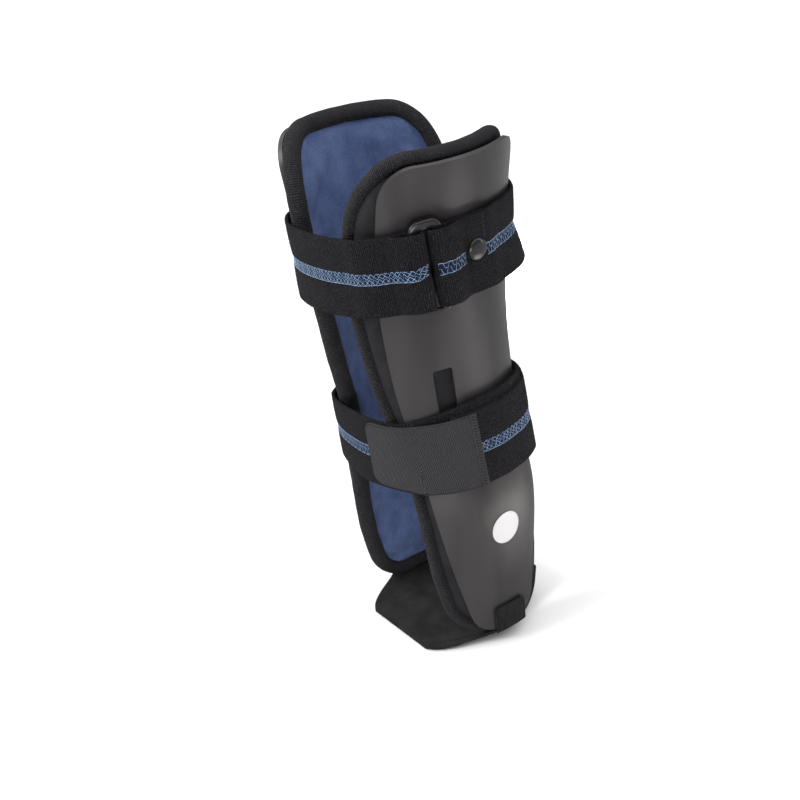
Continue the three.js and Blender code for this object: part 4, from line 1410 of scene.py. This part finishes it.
dress(hook_tab("hook_tape_tab"), HOOK_CLOTH, "hook_tape", "hook_tab")
dress(overlock("tab_overlock"), GREY_THREAD, "hook_tape")


# Ring, rivet and sticker


def base_frame(base, s, lift, v):
    """Columns x along the strap, y up it and z outwards, and the origin."""
    along = base.point(s + 1, lift, v) - base.point(s - 1, lift, v)
    y = unit(base.point(s, lift, 1.0) - base.point(s, lift, 0.0))
    z = unit(np.cross(along, y))
    return np.stack([np.cross(y, z), y, z], axis=1), base.point(s, lift, v)


def rounded_box(width, low, high, radius):
    """A closed line round a rectangle with round corners."""
    reach = width / 2 - radius
    centres = [(reach, low + radius), (reach, high - radius), (-reach, high - radius), (-reach, low + radius)]
    points = []
    for quarter, centre in enumerate(centres):
        turn = np.linspace(0, np.pi / 2, 16) + (quarter - 1) * np.pi / 2
        points.append(centre + radius * np.stack([np.cos(turn), np.sin(turn)], axis=1))
    return closed(np.concatenate(points))


def reach_to(line, starts, direction):
    """How far it is from each start, in its direction, to a line in the same plane."""
    a, step = line[:-1], np.diff(line, axis=0)
    x, y = direction[:, None, 0], direction[:, None, 1]
    away = a[None] - starts[:, None]
    cross = x * step[:, 1] - y * step[:, 0]
    cross = np.where(np.abs(cross) < 1e-9, 1e-9, cross)
    distance = (away[..., 0] * step[:, 1] - away[..., 1] * step[:, 0]) / cross
    share = (away[..., 0] * y - away[..., 1] * x) / cross
    met = (distance > 0) & (share >= -1e-6) & (share <= 1 + 1e-6)
    return np.where(met, distance, np.inf).min(axis=1)


def strap_ring(name, steps=160, sides=20):
    """The moulded ring: between its outer and its inner outline runs a rounded section, a
    superellipse whose width is the distance between them."""
    half, wide = STRAP_WIDTH / 2, RING_SLOT + 2 * RING_BAR
    slot_end = half + RING_END_CLEARANCE
    outer_line = rounded_box(wide, -half - RING_UNDERHANG, half + RING_OVERHANG, wide / 3)
    inner_line = rounded_box(RING_SLOT, -slot_end, slot_end, 1.6)
    below, above = (RING_UNDERHANG - RING_END_CLEARANCE) / 2, (RING_OVERHANG - RING_END_CLEARANCE) / 2
    middle = even_points(rounded_box(RING_SLOT + RING_BAR, -slot_end - below, slot_end + above, 3.6), steps)
    tangent = unit(np.roll(middle, -1, axis=0) - np.roll(middle, 1, axis=0))
    out = np.stack([tangent[:, 1], -tangent[:, 0]], axis=1)
    outer, inner = reach_to(outer_line, middle, out), reach_to(inner_line, middle, -out)
    turn = np.linspace(0, 2 * np.pi, sides, endpoint=False)
    c, s = (np.sign(wave) * np.abs(wave) ** RING_ROUNDING for wave in (np.cos(turn), np.sin(turn)))
    width = np.where(c > 0, outer[:, None], inner[:, None]) * c
    flat = middle[:, None] + out[:, None] * width[..., None]
    rise = np.broadcast_to(RING_THICKNESS / 2 * s, width.shape)
    axes, origin = base_frame(UPPER, RING_ARC, LIFT_SINGLE + TURN_RADIUS, 0.5)
    grid = np.concatenate([flat, rise[..., None]], axis=-1) @ axes.T + origin
    return swept(name, grid, np.linspace(0, 100, steps + 1), np.linspace(0, 12, sides + 1), close=True)


def rivet(name, steps=48):
    """The rivet: a dome profile with a small rolled rim, turned round its axis, on a shank."""
    dome = np.radians(np.linspace(0, 88, 22))[1:]
    radius, height = RIVET_HEAD_RADIUS, RIVET_HEAD_HEIGHT
    shank_end = -(LIFT_DOUBLE + STRAP_THICKNESS / 2 + 2 * GAP + SHELL_WALL)
    profile = np.concatenate([
        [[1.6, shank_end], [1.6, -0.02], [radius - 0.5, 0.0], [radius - 0.15, 0.08], [radius, 0.3]],
        np.stack([radius * np.cos(dome) ** 0.9, 0.3 + (height - 0.3) * np.sin(dome)], axis=1),
    ])
    reach, rise = profile[:, :1], profile[:, 1:]
    turn = np.linspace(0, 2 * np.pi, steps, endpoint=False)
    local = np.stack([reach * np.cos(turn), reach * np.sin(turn), rise + 0 * turn], axis=-1)
    lift = LIFT_DOUBLE + STRAP_THICKNESS / 2 + GAP
    axes, origin = base_frame(UPPER, RIVET_ARC, lift, 0.5 + RIVET_RISE / STRAP_WIDTH)
    along, around = np.linspace(0, 12, len(profile) + 1), np.linspace(0, 30, steps + 1)
    return swept(name, local @ axes.T + origin, along, around)


def sticker(name):
    """The round sticker: a thin disc in polar rows that follows the shell, with a soft edge."""
    turn = np.linspace(0, 2 * np.pi, 64, endpoint=False)
    radius = np.array([0.02, 2, 4, 6, 7.4, 8.0, STICKER_RADIUS, STICKER_RADIUS, 8.0, 6, 3, 0.02])
    thick = np.array([1, 1, 1, 1, 1, 0.97, 0.75, 0.1, 0, 0, 0, 0]) * STICKER_THICKNESS
    arc = STICKER_ARC + radius[:, None] * np.cos(turn)
    height = STICKER_HEIGHT + radius[:, None] * np.sin(turn)
    grid = wall(arc, height, -(STICKER_CLEARANCE + thick)[:, None])
    return swept(name, grid, np.zeros(len(radius) + 1), np.zeros(len(turn) + 1))


dress(strap_ring("moulded_ring"), HARDWARE_PLASTIC, "hardware_plastic", "strap_ring")
dress(rivet("domed_rivet"), HARDWARE_PLASTIC, "hardware_plastic", "strap_rivet")
dress(sticker("white_sticker"), PAPER, "paper", "round_sticker")


# Stage, light and camera


def stand(made, right, up, place):
    """Sets an object's right and up directions and its place, in metres."""
    turned = np.eye(4)
    turned[:3] = np.stack([right, up, np.cross(right, up), place], axis=1)
    made.matrix_world = Matrix(turned.tolist())


def light(name, kind, power, color=WHITE):
    """A lamp of a kind and its object."""
    lamp = bpy.data.lights.new(name, kind)
    lamp.energy = power
    lamp.color = color
    return lamp, linked(name, lamp)


def area_light(name, place, size, power, color=WHITE, target=(0, 0, 0.13)):
    """A soft rectangle of light that faces its target."""
    lamp, made = light(name, "AREA", power, color)
    lamp.shape = "RECTANGLE"
    lamp.size, lamp.size_y = size
    back = unit(np.array(place) - np.array(target))
    right = unit(np.cross([0, 0, 1.0], back))
    stand(made, right, np.cross(back, right), place)


def floor_patch(name, centre, radius, power, color=WHITE, height=0.6):
    """A spot straight down on a patch of floor beside the brace, which shows in the gloss."""
    lamp, made = light(name, "SPOT", power, color)
    lamp.spot_size = 2 * np.arctan(radius / height)
    lamp.spot_blend = 0.5
    lamp.shadow_soft_size = 0.02
    made.location = (*centre, height)


def sky_light(name, power, spread):
    """A very wide sun straight above: the same soft light everywhere on the floor."""
    lamp, _ = light(name, "SUN", power)
    lamp.angle = np.radians(spread)


def stage():
    """A pale floor under a white surround. The camera sees both brighter than they shine."""
    corners = FLOOR_REACH * np.array([[-1, -1, 0], [1, -1, 0], [1, 1, 0], [-1, 1, 0]]) - [0, 0, FLOOR_DROP]
    floor = make_object("pale_floor", corners, np.array([[0, 1, 2, 3]]))
    material, n, shader = new_material("Pale floor", 0.9, specular=0.0)
    seen = n.add("ShaderNodeLightPath").outputs["Is Camera Ray"]
    n.put(shader.inputs["Base Color"], n.mix(seen, (0.46, 0.46, 0.47), (0.95, 0.95, 0.95)))
    floor.data.materials.append(material)
    world = bpy.data.worlds.new("White surround")
    bpy.context.scene.world = world
    world.use_nodes = True
    surround = Nodes(world.node_tree)
    background = world.node_tree.nodes["Background"]
    background.inputs["Color"].default_value = rgba(WHITE)
    seen = surround.add("ShaderNodeLightPath").outputs["Is Camera Ray"]
    surround.put(background.inputs["Strength"], surround.ramp(seen, 0.0, 1.0, 0.22, 1.1))
    bpy.context.scene.view_settings.view_transform = "Standard"


def camera():
    """The photograph's viewpoint: where it stands, in millimetres, and its right and up."""
    view = bpy.data.cameras.new("Photograph view")
    view.sensor_fit = "HORIZONTAL"
    view.sensor_width = 36
    view.lens = CAMERA_LENS
    view.clip_start = 0.01
    made = linked("Photograph view", view)
    right = unit(np.array(CAMERA_RIGHT))
    up = unit(np.array(CAMERA_UP) - right * right.dot(CAMERA_UP))
    stand(made, right, up, np.array(CAMERA_PLACE) * MM)
    bpy.context.scene.camera = made


stage()
camera()
sky_light("Soft overhead", power=2.9, spread=110)
area_light("Key", (-0.3, -1.3, 0.95), size=(0.55, 0.8), power=14)
area_light("Back strip", (0.62, 1.0, 0.45), size=(0.2, 1.2), power=2.5)
area_light("Left fill", (-1.3, -0.6, 0.7), size=(1.0, 1.2), power=7)
area_light("Low fill", (0.75, -0.45, 0.12), (0.5, 0.2), 2.4, color=(1.0, 0.95, 0.92), target=(0, 0, 0.05))
floor_patch("Near patch", (0.17, 0.12), radius=0.11, power=90, color=(1.0, 0.93, 0.88))
floor_patch("Far patch", (-0.32, 0.3), radius=0.12, power=130)
